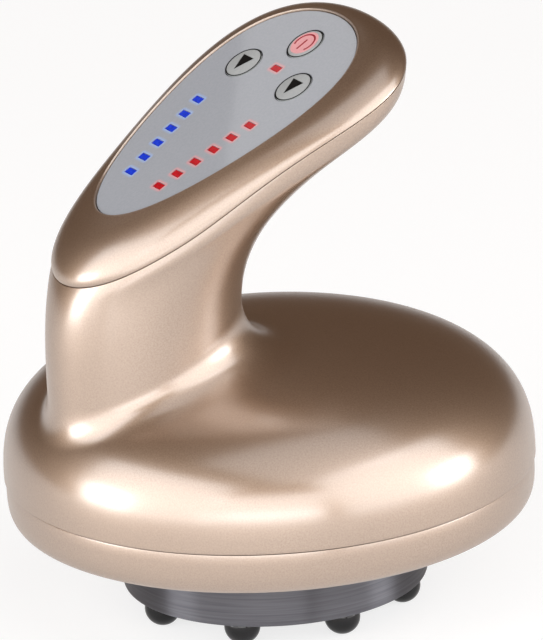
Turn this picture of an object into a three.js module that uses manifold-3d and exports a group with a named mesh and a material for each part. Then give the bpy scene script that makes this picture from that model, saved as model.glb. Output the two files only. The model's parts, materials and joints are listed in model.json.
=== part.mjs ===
// Electric cupping massager: a domed housing on a chromed suction ring with eight beads, and a
// leaning handle whose head carries the control panel. Millimetres, +Z up. The origin lies on the
// dome's axis in the plane of the bead tips, and the handle's head leans towards +X.
import * as THREE from 'three';
import { mergeVertices } from 'three/addons/utils/BufferGeometryUtils.js';
import Module from 'manifold-3d';

const wasm = await Module();
wasm.setup();

// Clearances shared by all pieces
const fit = 0.3;
const seamGap = 0.3;
const overrun = 1;

// Dome
const domeRadius = 61;
const domeRise = 30.8;
const domeFullness = 2.74;
const seamHeight = 33;
const shellWall = 2.2;

// Control panel, measured from the centre of the power button
const panelTilt = 27.9;
const panelReach = 15;
const panelRise = 97.4;
const panelHead = 10;
const panelTail = 61.5;
const panelHalfWidth = 21.9;
const panelEggShares = [0.31, 0.15];
const panelThickness = 1.5;

// Handle cover, measured past the panel's ends and below its face
const coverHead = 7.1;
const coverTail = 17;
const coverHalfWidth = 28;
const coverEggShares = [0.43, 0.42];
const coverDropHead = 6.6;
const coverDropTail = 7.4;
const coverBow = 2;
const coverBowPlaceShare = 0.15;
const coverBowSpreadShare = 0.7;
const coverFullness = 1.9;
const coverWall = 2;
const coverFloor = 1.4;
const coverLand = 0.4;
const lipThickness = 1.2;
const lipReach = 2;
const lipShoulder = 1.6;
const lipGap = 0.85;

// Neck, where it is slimmest: its rear stands in from the dome's rim; the heights are above the seam
const neckRearInset = 6.5;
const neckDepth = 47.3;
const neckWidth = 37;
const neckFrontHeight = 44.5;
const neckRearHeight = 25.5;
const neckFrontBlend = 15;
const neckRearBlend = 2.5;

// How the handle's sections pass from the parting line (0) to the neck (1):
// front x, front z, rear x, rear z, width, egg shape
const neckSectionShares = [
  [0, 0, 0, 0, 0, 0],
  [0.02, 0.119, 0.207, 0.06, 0.02, 0.04],
  [0.203, 0.211, 0.447, 0.149, 0.27, 0.235],
  [0.495, 0.366, 0.702, 0.286, 0.57, 0.497],
  [0.802, 0.587, 0.88, 0.46, 0.82, 0.745],
  [0.972, 0.827, 0.982, 0.683, 0.96, 0.913],
  [1, 1, 1, 1, 1, 1],
];

// Lower shell
const lowerDepth = 11.3;
const lowerStep = 0.4;
const lowerCornerRun = 16;
const lowerFullness = 4.8;
const tongueReach = 2.5;
const tongueRoot = 3;
const tongueGap = 0.6;

// Suction ring and its beads
const ringRadius = 35;
const ringWall = 1.6;
const ringWidth = 10;
const ringLift = 5.5;
const ringFloor = 4.5;
const ringChamfer = 0.8;
const beadRadius = 4.15;
const beadCircle = 30;
const beadCount = 8;
const gasketThickness = 0.7;

// Cup bowl and what hangs in it
const bowlWall = 1.8;
const bowlRimLift = 1.5;
const bowlCeiling = 23.5;
const bowlCorner = 3;
const bowlFlange = 2.4;
const portBore = 0.9;
const portReach = 7.4;
const bossRadius = 5;
const bossDrop = 5.8;
const lightBoardThickness = 1.2;
const lensThickness = 1;
const plateThickness = 0.9;
const lightCircle = 13;
const lightCount = 6;
const lightRadius = 1.5;
const lightHeight = 0.6;
const capRadius = 8.5;
const capDepth = 2.3;
const capFloor = 1.2;
const capSlotRadius = 0.8;
const capSlotCircle = 3.2;
const capSlotCount = 6;
const filterThickness = 0.8;

// Screws: head radius, head height, shank radius
const housingScrew = { head: 2.6, headHeight: 1.8, shank: 1.2, length: 16 };
const ringScrew = { head: 2.2, headHeight: 1.4, shank: 1, length: 9 };
const boardScrew = { head: 1.5, headHeight: 0.9, shank: 0.7, length: 3.6 };
const screwCrownShare = 0.8;
const postWall = 1.8;
const postClearance = 1;

// Buttons, switches and lights under the panel
const buttonRadius = 4.65;
const buttonGap = 0.3;
const buttonProud = 0.25;
const buttonFlange = 1.05;
const buttonFlangeHeight = 0.8;
const buttonStem = 1.7;
const buttonTravel = 0.5;
const arrowSetback = 11.3;
const arrowSpread = 11.2;
const switchSide = 6;
const switchHeight = 1.8;
const switchCornerShare = 0.62;
const controlBoardDepth = 7.4;
const controlBoardInset = 7;
const boardThickness = 1.2;
const boardPostInset = 13.5;
const boardPostAhead = 2;
const boardPostSpread = 9;
const boardPinRadius = 0.9;
const pipWidth = 3.1;
const pipLength = 1.5;
const pipGap = 0.15;
const pipCount = 6;
const pipHeadSetback = 24.95;
const pipTailInset = 12.5;
const pipTailSpread = 6.45;
const pipHeadSpread = 11.75;
const guideHeight = 1.1;
const guideWidth = 2.4;
const guideEnd = 1.6;
const statusSetback = 8.9;
const ledHeight = 0.8;
const ledLength = 1.6;

// Inner chassis
const chassisThickness = 1.8;
const chassisEndGap = 10;
const chassisSideGap = 27;
const chassisCorner = 14;
const chassisHole = 8;
const saddleThickness = 4;
const saddleRise = 7;
const saddleHalfWidth = 8;
const stopThickness = 1.4;

// Battery, an 18650 cell
const cellRadius = 9.1;
const cellLength = 65;
const cellSide = 30;
const cellLift = 1.2;
const cellTipRadius = 3;
const cellTipHeight = 0.8;

// Vacuum pump and its motor
const pumpRadius = 11.5;
const pumpSide = 24;
const pumpLift = 0.9;
const pumpFront = -2;
const pumpBodyLength = 20;
const pumpHeadLength = 5.4;
const diaphragmThickness = 0.8;
const motorRadius = 11;
const motorLength = 26;
const motorWall = 1.2;
const endCapLength = 3;
const shaftRadius = 1;
const armatureRadius = 8;
const armatureLength = 14;
const armatureSlots = 3;
const armatureSlotWidth = 2.4;
const crankRadius = 4;
const crankLength = 5;
const crankOffset = 1;

// Release valve
const valvePlace = -44;
const valveSide = -3;
const valveWidth = 13;
const valveHeight = 10;
const valveFloor = 1.8;
const valveCapHeight = 3.8;
const plungerRadius = 2.9;
const plungerLength = 4;
const springRadius = 2;
const springWire = 0.25;
const springTurns = 3;

// Air line
const hoseRadius = 2.9;
const hoseBore = 1.9;
const nozzleRadius = 1.6;
const nozzleReach = 5;
const teePlace = -25;
const teeArm = 6.3;
const teeBody = 3.4;

// The cup hose's way from the bowl's port (0) to the tee (1): along X, along Y, up
const cupHoseShares = [
  [0, 0, 0],
  [0, 0, 0.25],
  [0, 0, 0.5],
  [0.07, 0.06, 0.74],
  [0.22, 0.3, 0.92],
  [0.45, 0.8, 1],
  [0.7, 1, 1],
  [1, 1, 1],
];

// Main board and charging socket
const mainBoardPlace = 38;
const mainBoardWidth = 44;
const mainBoardHeight = 16;
const mainBoardThickness = 1.6;
const chipSide = 8;
const chipHeight = 1;
const coilRadius = 3;
const coilHeight = 2.8;
const socketWidth = 9;
const socketHeight = 3.3;
const socketDepth = 7.3;
const socketWall = 0.35;
const socketBackWall = 1.4;
const socketTongue = 0.7;
const socketDrop = 5.8;
const socketInset = 1;
const socketRib = 1.1;
const cableRadius = 1.4;
const cableInset = 10.5;
const cableBend = 6.5;

// Facet counts
const aroundCount = 32;
const insideCount = aroundCount / 2;
const neckRingCount = 11;
const blendRingCount = 4;
const domeRingCount = 8;
const coverRingCount = 5;
const cornerCount = 4;
const cupCount = 24;
const roundCount = 12;
const smallRoundCount = 8;
const arcCount = 2;
const hoseCount = 8;
const cableCount = 6;
const cupHoseSteps = 10;
const cableSteps = 20;
const springStepsPerTurn = 8;
const beadCountAround = 10;
const beadCountUp = 5;

// Paints and stock
const paint = { color: 0xb89a80, roughness: 0.32, metalness: 0.85 };
const chrome = { color: 0x3b3b3d, roughness: 0.08, metalness: 1 };
const blackGlass = { color: 0x0b0b0d, roughness: 0.12, metalness: 0.1 };
const panelGrey = { color: 0xa4a9b0, roughness: 0.12, metalness: 0 };
const keyGrey = { color: 0xa9acad, roughness: 0.25, metalness: 0 };
const blueLight = { color: 0x1a3fd0, roughness: 0.3, metalness: 0 };
const redLight = { color: 0xd01818, roughness: 0.3, metalness: 0 };
const blackPlastic = { color: 0x1b1b1d, roughness: 0.5, metalness: 0 };
const whitePlastic = { color: 0xd9d7d0, roughness: 0.5, metalness: 0 };
const boardGreen = { color: 0x1d5a36, roughness: 0.5, metalness: 0 };
const steel = { color: 0xb9bbbe, roughness: 0.3, metalness: 1 };
const cellBlue = { color: 0x3c6fb5, roughness: 0.4, metalness: 0 };
const silicone = { color: 0xe6e4de, roughness: 0.6, metalness: 0 };
const copper = { color: 0xb87340, roughness: 0.4, metalness: 0.9 };
const foam = { color: 0x2d2d30, roughness: 0.95, metalness: 0 };

// Heights and places worked out from the sizes above
const tilt = THREE.MathUtils.degToRad(panelTilt);
const neckCentre = neckRearInset - domeRadius + neckDepth / 2;
const boardPostSetback = panelTail - boardPostInset;
const pipTailSetback = panelTail - pipTailInset;
const pipPitch = (pipTailSetback - pipHeadSetback) / (pipCount - 1);
const cableSetback = panelTail - cableInset;
const lowerRadius = domeRadius - lowerStep;
const bottomHeight = seamHeight - lowerDepth;
const floorHeight = bottomHeight + shellWall;
const ringInner = ringRadius - ringWidth;
const ringTop = bottomHeight - fit;
const cupHoleRadius = ringInner + fit;
const bowlRadius = ringInner - fit;
const bowlRim = ringLift + bowlRimLift;
const bowlInside = ringLift + bowlCeiling;
const bowlTop = bowlInside + bowlWall;
const portTop = bowlTop + portReach;
const chassisBottom = bowlTop + overrun;
const chassisTop = chassisBottom + chassisThickness;
const chassisHalfLength = domeRadius - chassisEndGap;
const chassisHalfWidth = domeRadius - chassisSideGap;
const postRadius = housingScrew.shank + fit + postWall;
const stopPlace = cellLength / 2 + cellTipHeight + fit + stopThickness / 2;
const housingPostX = stopPlace + stopThickness / 2 + postClearance + postRadius;
const housingPostY = mainBoardWidth / 2 + 2 * postClearance + postRadius;
const cellHeight = chassisTop + cellLift + cellRadius;
const pumpHeight = chassisTop + pumpLift + pumpRadius;
const floorDepth = panelThickness + fit + coverFloor;
const springSeat = chassisTop + fit + valveFloor;
const plungerTop = chassisTop + fit + valveHeight;

// Solids

// Gives a geometry's places alone, with shared corners merged and flat triangles dropped.
function weld(geometry) {
  const bare = new THREE.BufferGeometry();
  bare.setAttribute('position', geometry.getAttribute('position').clone());
  bare.setIndex(geometry.getIndex() ? geometry.getIndex().clone() : null);
  const joined = mergeVertices(bare);
  const corners = joined.getIndex().array;
  const kept = [];
  for (let i = 0; i < corners.length; i += 3) {
    const [a, b, c] = [corners[i], corners[i + 1], corners[i + 2]];
    if (a !== b && b !== c && c !== a) kept.push(a, b, c);
  }
  joined.setIndex(kept);
  return joined;
}

function toSolid(geometry) {
  const joined = weld(geometry);
  const vertProperties = new Float32Array(joined.getAttribute('position').array);
  const triVerts = new Uint32Array(joined.getIndex().array);
  return new wasm.Manifold(new wasm.Mesh({ numProp: 3, vertProperties, triVerts }));
}

function toGeometry(solid) {
  const { vertProperties, triVerts } = solid.getMesh();
  const geometry = new THREE.BufferGeometry();
  geometry.setAttribute('position', new THREE.BufferAttribute(new Float32Array(vertProperties), 3));
  geometry.setIndex(new THREE.BufferAttribute(new Uint32Array(triVerts), 1));
  geometry.computeVertexNormals();
  return geometry;
}

function join(first, ...others) {
  return toGeometry(others.reduce((solid, other) => solid.add(toSolid(other)), toSolid(first)));
}

function cut(first, ...others) {
  return toGeometry(others.reduce((solid, other) => solid.subtract(toSolid(other)), toSolid(first)));
}

function common(first, other) {
  return toGeometry(toSolid(first).intersect(toSolid(other)));
}

// A round bar standing on z = 0.
function rod(radius, height, count = smallRoundCount) {
  return new THREE.CylinderGeometry(radius, radius, height, count)
    .rotateX(Math.PI / 2)
    .translate(0, 0, height / 2);
}

// A block standing on z = 0, centred on the axis.
function block(length, width, height) {
  return new THREE.BoxGeometry(length, width, height).translate(0, 0, height / 2);
}

// A profile of [radius, height] corners turned about Z.
function turned(profile, count = cupCount) {
  const points = profile.map(([radius, height]) => new THREE.Vector2(radius, height));
  return facingOut(new THREE.LatheGeometry([...points, points[0]], count).rotateX(Math.PI / 2));
}

function plate(shape, thickness, count = arcCount) {
  const options = { depth: thickness, bevelEnabled: false, curveSegments: count };
  return new THREE.ExtrudeGeometry(shape, options);
}

// A hose or cable along a curve, with a bore where one is given.
function tube(curve, radius, bore, steps, sides = hoseCount) {
  const section = new THREE.Shape().absarc(0, 0, radius, 0, 2 * Math.PI);
  if (bore) section.holes.push(new THREE.Path().absarc(0, 0, bore, 0, 2 * Math.PI, true));
  const options = { steps, extrudePath: curve, bevelEnabled: false, curveSegments: sides / 2 };
  return new THREE.ExtrudeGeometry(section, options);
}

function roundedBox(halfLength, halfWidth, corner) {
  const shape = new THREE.Shape();
  const [x, y] = [halfLength - corner, halfWidth - corner];
  shape.absarc(x, y, corner, 0, Math.PI / 2);
  shape.absarc(-x, y, corner, Math.PI / 2, Math.PI);
  shape.absarc(-x, -y, corner, Math.PI, 1.5 * Math.PI);
  shape.absarc(x, -y, corner, 1.5 * Math.PI, 2 * Math.PI);
  return shape;
}

// A skin through rings of equal count. A closed one joins its last ring to its first; an open one
// is capped at both ends.
function skin(rings, closed) {
  const count = rings[0].length;
  const places = rings.flat().flatMap((point) => point.toArray());
  const corners = [];
  const bands = closed ? rings.length : rings.length - 1;
  for (let i = 0; i < bands; i++) {
    const [low, high] = [i * count, ((i + 1) % rings.length) * count];
    for (let j = 0; j < count; j++) {
      const k = (j + 1) % count;
      corners.push(low + j, high + j, low + k, low + k, high + j, high + k);
    }
  }
  if (!closed) {
    const ends = [[rings[0], 0], [rings[rings.length - 1], (rings.length - 1) * count]];
    ends.forEach(([ring, start], side) => {
      const middle = ring.reduce((sum, point) => sum.add(point), new THREE.Vector3());
      places.push(...middle.divideScalar(count).toArray());
      const hub = places.length / 3 - 1;
      for (let j = 0; j < count; j++) {
        const [a, b] = [start + j, start + ((j + 1) % count)];
        corners.push(...(side ? [hub, b, a] : [hub, a, b]));
      }
    });
  }
  const geometry = new THREE.BufferGeometry();
  geometry.setAttribute('position', new THREE.Float32BufferAttribute(places, 3));
  geometry.setIndex(corners);
  return facingOut(geometry);
}

function volumeOf(geometry) {
  const place = geometry.getAttribute('position');
  const corners = geometry.getIndex().array;
  const [a, b, c] = [new THREE.Vector3(), new THREE.Vector3(), new THREE.Vector3()];
  let volume = 0;
  for (let i = 0; i < corners.length; i += 3) {
    a.fromBufferAttribute(place, corners[i]);
    b.fromBufferAttribute(place, corners[i + 1]);
    c.fromBufferAttribute(place, corners[i + 2]);
    volume += a.dot(b.cross(c)) / 6;
  }
  return volume;
}

function facingOut(geometry) {
  if (volumeOf(geometry) < 0) geometry.setIndex([...geometry.getIndex().array].reverse());
  return geometry;
}

// Outward normals of a grid of rings that run down the object, from its neighbours' places.
function normalsOf(rings) {
  const count = rings[0].length;
  return rings.map((ring, i) => ring.map((point, j) => {
    const above = rings[Math.max(i - 1, 0)][j];
    const below = rings[Math.min(i + 1, rings.length - 1)][j];
    const down = new THREE.Vector3().subVectors(below, above);
    const along = new THREE.Vector3().subVectors(ring[(j + 1) % count], ring[(j + count - 1) % count]);
    return down.cross(along).normalize();
  }));
}

// A ring moved in by a distance, within the plane of a mouth where one is given.
function offsetRing(ring, normals, distance, mouth) {
  return ring.map((point, j) => {
    const normal = normals[j].clone();
    if (mouth) normal.projectOnPlane(mouth).normalize();
    return point.clone().addScaledVector(normal, -distance);
  });
}

// The inside of a wall: every second point of every second ring.
function insideRings(outer, wall, mouths) {
  const normals = normalsOf(outer);
  const last = outer.length - 1;
  return outer
    .map((ring, i) => offsetRing(ring, normals[i], wall, mouths[i]))
    .filter((_, i) => i === 0 || (last - i) % 2 === 0)
    .map(halved);
}

function halved(ring) {
  return ring.filter((_, j) => j % 2 === 0);
}

function movedRing(ring, direction, distance) {
  return ring.map((point) => point.clone().addScaledVector(direction, distance));
}

// Forms of the housing

const aroundAngles = Array.from({ length: aroundCount }, (_, j) => (2 * Math.PI * j) / aroundCount);
const panelNormal = new THREE.Vector3(-Math.sin(tilt), 0, Math.cos(tilt));
const up = new THREE.Vector3(0, 0, 1);

function eggHalfWidth(angle, halfWidth, shares) {
  const along = Math.cos(angle);
  return halfWidth * Math.sin(angle) * (1 + shares[0] * along + shares[1] * along ** 2);
}

// The panel's outline, drawn in by an inset.
function panelOutline(inset, count = aroundCount) {
  const middle = (panelHead - panelTail) / 2;
  const reach = (panelHead + panelTail) / 2 - inset;
  const places = Array.from({ length: count }, (_, j) => {
    const angle = (2 * Math.PI * j) / count;
    const side = eggHalfWidth(angle, panelHalfWidth - inset, panelEggShares);
    return new THREE.Vector2(middle + reach * Math.cos(angle), side);
  });
  return places;
}

// How much of its bow towards the panel the parting line has at an angle.
function bowShare(angle) {
  const away = Math.abs(Math.cos(angle) - coverBowPlaceShare) / coverBowSpreadShare;
  return (1 - Math.min(away, 1) ** 2) ** 2;
}

// The parting line between cover and housing, in the panel's own frame.
function partingRing() {
  const [head, tail] = [panelHead + coverHead, -panelTail - coverTail];
  return aroundAngles.map((angle) => {
    const share = (1 + Math.cos(angle)) / 2;
    return new THREE.Vector3(
      THREE.MathUtils.lerp(tail, head, share),
      eggHalfWidth(angle, coverHalfWidth, coverEggShares),
      coverBow * bowShare(angle) - THREE.MathUtils.lerp(coverDropTail, coverDropHead, share),
    );
  });
}

// From the panel's frame to the housing's, whose zero is the seam.
function panelToHousing(point) {
  return point.clone().applyAxisAngle(new THREE.Vector3(0, -1, 0), tilt)
    .add(new THREE.Vector3(panelReach, 0, panelRise));
}

function domeHeight(radius) {
  const share = Math.min(radius / domeRadius, 1);
  return domeRise * (1 - share ** domeFullness) ** (1 / domeFullness);
}

function neckRings() {
  const parting = partingRing().map(panelToHousing);
  const [head, tail] = [parting[0], parting[aroundCount / 2]];
  const columns = [[0, 1], [2, 3], [4, 5]].map(([a, b]) => new THREE.SplineCurve(
    neckSectionShares.map((row) => new THREE.Vector2(row[a], row[b])),
  ));
  const { lerp } = THREE.MathUtils;
  return Array.from({ length: neckRingCount }, (_, i) => {
    const [front, rear, form] = columns.map((curve) => curve.getPoint(i / (neckRingCount - 1)));
    const frontX = lerp(head.x, neckCentre + neckDepth / 2, front.x);
    const frontZ = lerp(head.z, neckFrontHeight, front.y);
    const rearX = lerp(tail.x, neckCentre - neckDepth / 2, rear.x);
    const rearZ = lerp(tail.z, neckRearHeight, rear.y);
    const halfWidth = lerp(coverHalfWidth, neckWidth / 2, form.x);
    const shares = coverEggShares.map((share) => share * (1 - form.y));
    const bow = coverBow * (1 - form.x) ** 2;
    return aroundAngles.map((angle) => {
      const share = (1 + Math.cos(angle)) / 2;
      const side = eggHalfWidth(angle, halfWidth, shares);
      const point = new THREE.Vector3(lerp(rearX, frontX, share), side, lerp(rearZ, frontZ, share));
      return point.addScaledVector(panelNormal, bow * bowShare(angle));
    });
  });
}

// Where the neck runs out into the dome, and the level way out from the neck at each angle.
function neckFoot(ring) {
  return ring.map((point, j) => {
    const angle = aroundAngles[j];
    const out = new THREE.Vector3(Math.cos(angle) / neckDepth, Math.sin(angle) / neckWidth, 0).normalize();
    const run = THREE.MathUtils.lerp(neckRearBlend, neckFrontBlend, (1 + Math.cos(angle)) / 2);
    const foot = point.clone().addScaledVector(out, run);
    foot.z = domeHeight(Math.hypot(foot.x, foot.y));
    const next = foot.clone().addScaledVector(out, run / aroundCount);
    const fall = (foot.z - domeHeight(Math.hypot(next.x, next.y))) * aroundCount;
    const corner = new THREE.Vector3(point.x, point.y, Math.min(foot.z + fall, point.z));
    return { foot, corner };
  });
}

function outerRings() {
  const neck = neckRings();
  const last = neck[neck.length - 1];
  const feet = neckFoot(last);
  const blend = Array.from({ length: blendRingCount }, (_, i) => last.map((point, j) => {
    const curve = new THREE.QuadraticBezierCurve3(point, feet[j].corner, feet[j].foot);
    return curve.getPoint((i + 1) / blendRingCount);
  }));
  const dome = Array.from({ length: domeRingCount }, (_, i) => feet.map(({ foot }, j) => {
    const share = 1 - (1 - (i + 1) / domeRingCount) ** domeFullness;
    const rim = new THREE.Vector3(Math.cos(aroundAngles[j]), Math.sin(aroundAngles[j]), 0);
    const place = foot.clone().lerp(rim.multiplyScalar(domeRadius), share);
    place.z = Math.max(domeHeight(Math.hypot(place.x, place.y)), seamGap / 2);
    return place;
  }));
  neck[0] = neck[0].map((point) => point.clone().addScaledVector(panelNormal, -seamGap / 2));
  return [...neck, ...blend, ...dome];
}

// Upper housing: dome, neck and the underside of the head, one moulding with an even wall
function upperHousing() {
  const outer = outerRings();
  const mouths = { 0: panelNormal, [outer.length - 1]: up };
  const inner = insideRings(outer, shellWall, mouths);
  inner.unshift(movedRing(inner[0], panelNormal, overrun));
  inner.push(movedRing(inner[inner.length - 1], up, -overrun));
  const shell = cut(skin(outer, false), skin(inner, false));
  const middle = skin(insideRings(outer, shellWall / 2, mouths), false);
  const base = housingPostBase() - seamHeight;
  const posts = housingPosts().map(([x, y]) => {
    const post = rod(postRadius, domeRise - base).translate(x, y, base);
    return common(post, middle);
  });
  const pilots = housingPosts().map(([x, y]) => (
    rod(housingScrew.shank + fit, housingScrew.length).translate(x, y, base - overrun)
  ));
  return cut(join(shell, ...posts), ...pilots);
}

function housingPosts() {
  return [[1, 1], [-1, 1], [-1, -1], [1, -1]].map(([a, b]) => [a * housingPostX, b * housingPostY]);
}

function housingPostBase() {
  return chassisTop + fit;
}

// Handle cover: a crowned rim round the panel's pocket, with the floor that carries the board
function coverRings() {
  const parting = partingRing();
  const edge = panelOutline(-fit - coverLand);
  return Array.from({ length: coverRingCount + 1 }, (_, i) => {
    const turn = (Math.PI / 2) * (i / coverRingCount);
    const outShare = Math.sin(turn) ** (2 / coverFullness);
    const dropShare = 1 - Math.cos(turn) ** (2 / coverFullness);
    return parting.map((point, j) => new THREE.Vector3(
      THREE.MathUtils.lerp(edge[j].x, point.x, outShare),
      THREE.MathUtils.lerp(edge[j].y, point.y, outShare),
      dropShare * (point.z + seamGap / 2),
    ));
  });
}

function handleCover() {
  const outer = coverRings();
  const inner = insideRings(outer, coverWall, { [coverRingCount]: up }).slice(1);
  inner.push(movedRing(inner[inner.length - 1], up, -overrun));
  inner.flat().forEach((point) => point.setZ(Math.min(point.z, -floorDepth)));
  const pocketDepth = panelThickness + fit;
  const pocket = plate(new THREE.Shape(panelOutline(-fit)), pocketDepth + overrun)
    .translate(0, 0, -pocketDepth);
  const postHeight = controlBoardDepth - floorDepth - fit + coverFloor / 2;
  const posts = boardPosts().map(([x, y]) => (
    rod(boardScrew.shank + fit + coverWall / 2, postHeight).translate(x, y, -controlBoardDepth + fit)
  ));
  const pin = rod(boardPinRadius, postHeight + boardThickness)
    .translate(-boardPostSetback, 0, -controlBoardDepth + fit - boardThickness);
  const pilots = boardPosts().slice(1).map(([x, y]) => (
    rod(boardScrew.shank + fit, boardScrew.length).translate(x, y, -controlBoardDepth)
  ));
  const shell = cut(skin(outer, false), skin(inner, false), pocket);
  return cut(join(shell, coverLip(), ...posts, pin), ...pilots, ...panelOpenings());
}

// The lip that stands inside the housing's mouth and locates the cover. It leans in by the panel's
// tilt, as the front of the housing below it does. Its section is given as [drop, inset].
function coverLip() {
  const inset = shellWall / Math.cos(tilt) + lipGap;
  const lean = lipReach * Math.tan(tilt);
  const section = [
    [-lipShoulder, coverWall / 2],
    [-lipShoulder / 2, coverWall / 2],
    [-lipShoulder / 2, inset],
    [lipReach, inset + lean],
    [lipReach, inset + lean + lipThickness],
    [-lipShoulder, inset + lipThickness],
  ];
  const parting = halved(partingRing());
  const [normals] = normalsOf([parting, movedRing(parting, up, -lipReach)]);
  return skin(section.map(([drop, depth]) => (
    movedRing(offsetRing(parting, normals, depth, up), up, -drop)
  )), true);
}

function boardPosts() {
  return [
    [-boardPostSetback, 0],
    [boardPostAhead, boardPostSpread],
    [boardPostAhead, -boardPostSpread],
  ];
}

// Places of the three buttons: power, suction on the far side, heat on the near side
function buttonPlaces() {
  return { power: [0, 0], suction: [-arrowSetback, arrowSpread], heat: [-arrowSetback, -arrowSpread] };
}

// Places of one row of lights, from its tail end; side is 1 or -1
function pipPlaces(side) {
  return Array.from({ length: pipCount }, (_, i) => {
    const spread = THREE.MathUtils.lerp(pipTailSpread, pipHeadSpread, i / (pipCount - 1));
    return [-pipTailSetback + pipPitch * i, side * spread];
  });
}

function lightPipPlaces() {
  return [...pipPlaces(1), ...pipPlaces(-1), [-statusSetback, 0]];
}

// Tools that open the panel and the cover's floor for buttons and light pips.
function panelOpenings() {
  const depth = floorDepth + 2 * overrun;
  const start = -floorDepth - overrun;
  const rounds = Object.values(buttonPlaces()).map(([x, y]) => (
    rod(buttonRadius + buttonGap, depth, roundCount).translate(x, y, start)
  ));
  const slots = lightPipPlaces().map(([x, y]) => (
    block(pipLength + 2 * pipGap, pipWidth + 2 * pipGap, depth).translate(x, y, start)
  ));
  return [...rounds, ...slots];
}

function controlPanel() {
  const body = plate(new THREE.Shape(panelOutline(0)), panelThickness).translate(0, 0, -panelThickness);
  return cut(body, ...panelOpenings());
}

// A round key: cap through the panel, flange under the floor, stem down to its switch
function buttonCap() {
  const flangeTop = -floorDepth - fit;
  const flangeBottom = flangeTop - buttonFlangeHeight;
  const stemBottom = -controlBoardDepth + switchHeight + buttonTravel + buttonGap / 2;
  return turned([
    [0, buttonProud],
    [buttonRadius - buttonProud, buttonProud],
    [buttonRadius, 0],
    [buttonRadius, flangeTop],
    [buttonRadius + buttonFlange, flangeTop],
    [buttonRadius + buttonFlange, flangeBottom],
    [buttonStem, flangeBottom],
    [buttonStem, stemBottom],
    [0, stemBottom],
  ], roundCount);
}

// Six pips on one bar: the bar lies under the cover's floor, the pips end flush with the panel
function lightGuide(side) {
  const places = pipPlaces(side);
  const top = -floorDepth - fit;
  const [tailEnd, headEnd] = [places[0], places[places.length - 1]];
  const [dx, dy] = [headEnd[0] - tailEnd[0], headEnd[1] - tailEnd[1]];
  const bar = block(Math.hypot(dx, dy) + 2 * guideEnd, guideWidth, guideHeight)
    .rotateZ(Math.atan2(dy, dx))
    .translate((tailEnd[0] + headEnd[0]) / 2, (tailEnd[1] + headEnd[1]) / 2, top - guideHeight);
  const pips = places.map(([x, y]) => block(pipLength, pipWidth, guideHeight / 2 - top)
    .translate(x, y, top - guideHeight / 2));
  return join(bar, ...pips);
}

function statusGuide() {
  const top = -floorDepth - fit;
  const foot = block(guideWidth, pipWidth + guideEnd, guideHeight).translate(0, 0, top - guideHeight);
  const pip = block(pipLength, pipWidth, guideHeight / 2 - top).translate(0, 0, top - guideHeight / 2);
  return join(foot, pip).translate(-statusSetback, 0, 0);
}

function controlBoard() {
  const shape = new THREE.Shape(panelOutline(controlBoardInset));
  const body = plate(shape, boardThickness).translate(0, 0, -controlBoardDepth - boardThickness);
  const holes = boardPosts().map(([x, y], i) => {
    const radius = (i ? boardScrew.shank : boardPinRadius) + fit;
    return rod(radius, boardThickness + 2 * overrun)
      .translate(x, y, -controlBoardDepth - boardThickness - overrun);
  });
  const lamps = lightPipPlaces().map(([x, y]) => (
    block(ledLength / 2, ledLength, ledHeight + boardThickness / 2)
      .translate(x, y, -controlBoardDepth - boardThickness / 2)
  ));
  return join(cut(body, ...holes), ...lamps);
}

function tactSwitch() {
  const body = block(switchSide, switchSide, switchHeight - fit).translate(0, 0, -controlBoardDepth + fit);
  const corners = rod(switchSide * switchCornerShare, switchHeight, 8)
    .rotateZ(Math.PI / 8)
    .translate(0, 0, -controlBoardDepth);
  return common(body, corners);
}

// A pan-head screw with its head down at z = 0 and its shank up.
function screw({ head, headHeight, shank, length }) {
  return turned([
    [0, 0],
    [head * screwCrownShare, 0],
    [head, headHeight / 2],
    [head, headHeight],
    [shank, headHeight],
    [shank, headHeight + length - shank],
    [0, headHeight + length],
  ], smallRoundCount);
}

// A superellipse corner from a wall to a floor, as [radius, height] corners between two shares.
function lowerCorner(radius, run, depth, count, from, to) {
  return Array.from({ length: count }, (_, i) => {
    const turn = THREE.MathUtils.lerp(from, to, i / (count - 1)) * (Math.PI / 2);
    return [
      radius - run + run * Math.cos(turn) ** (2 / lowerFullness),
      seamHeight - depth * Math.sin(turn) ** (2 / lowerFullness),
    ];
  });
}

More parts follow.
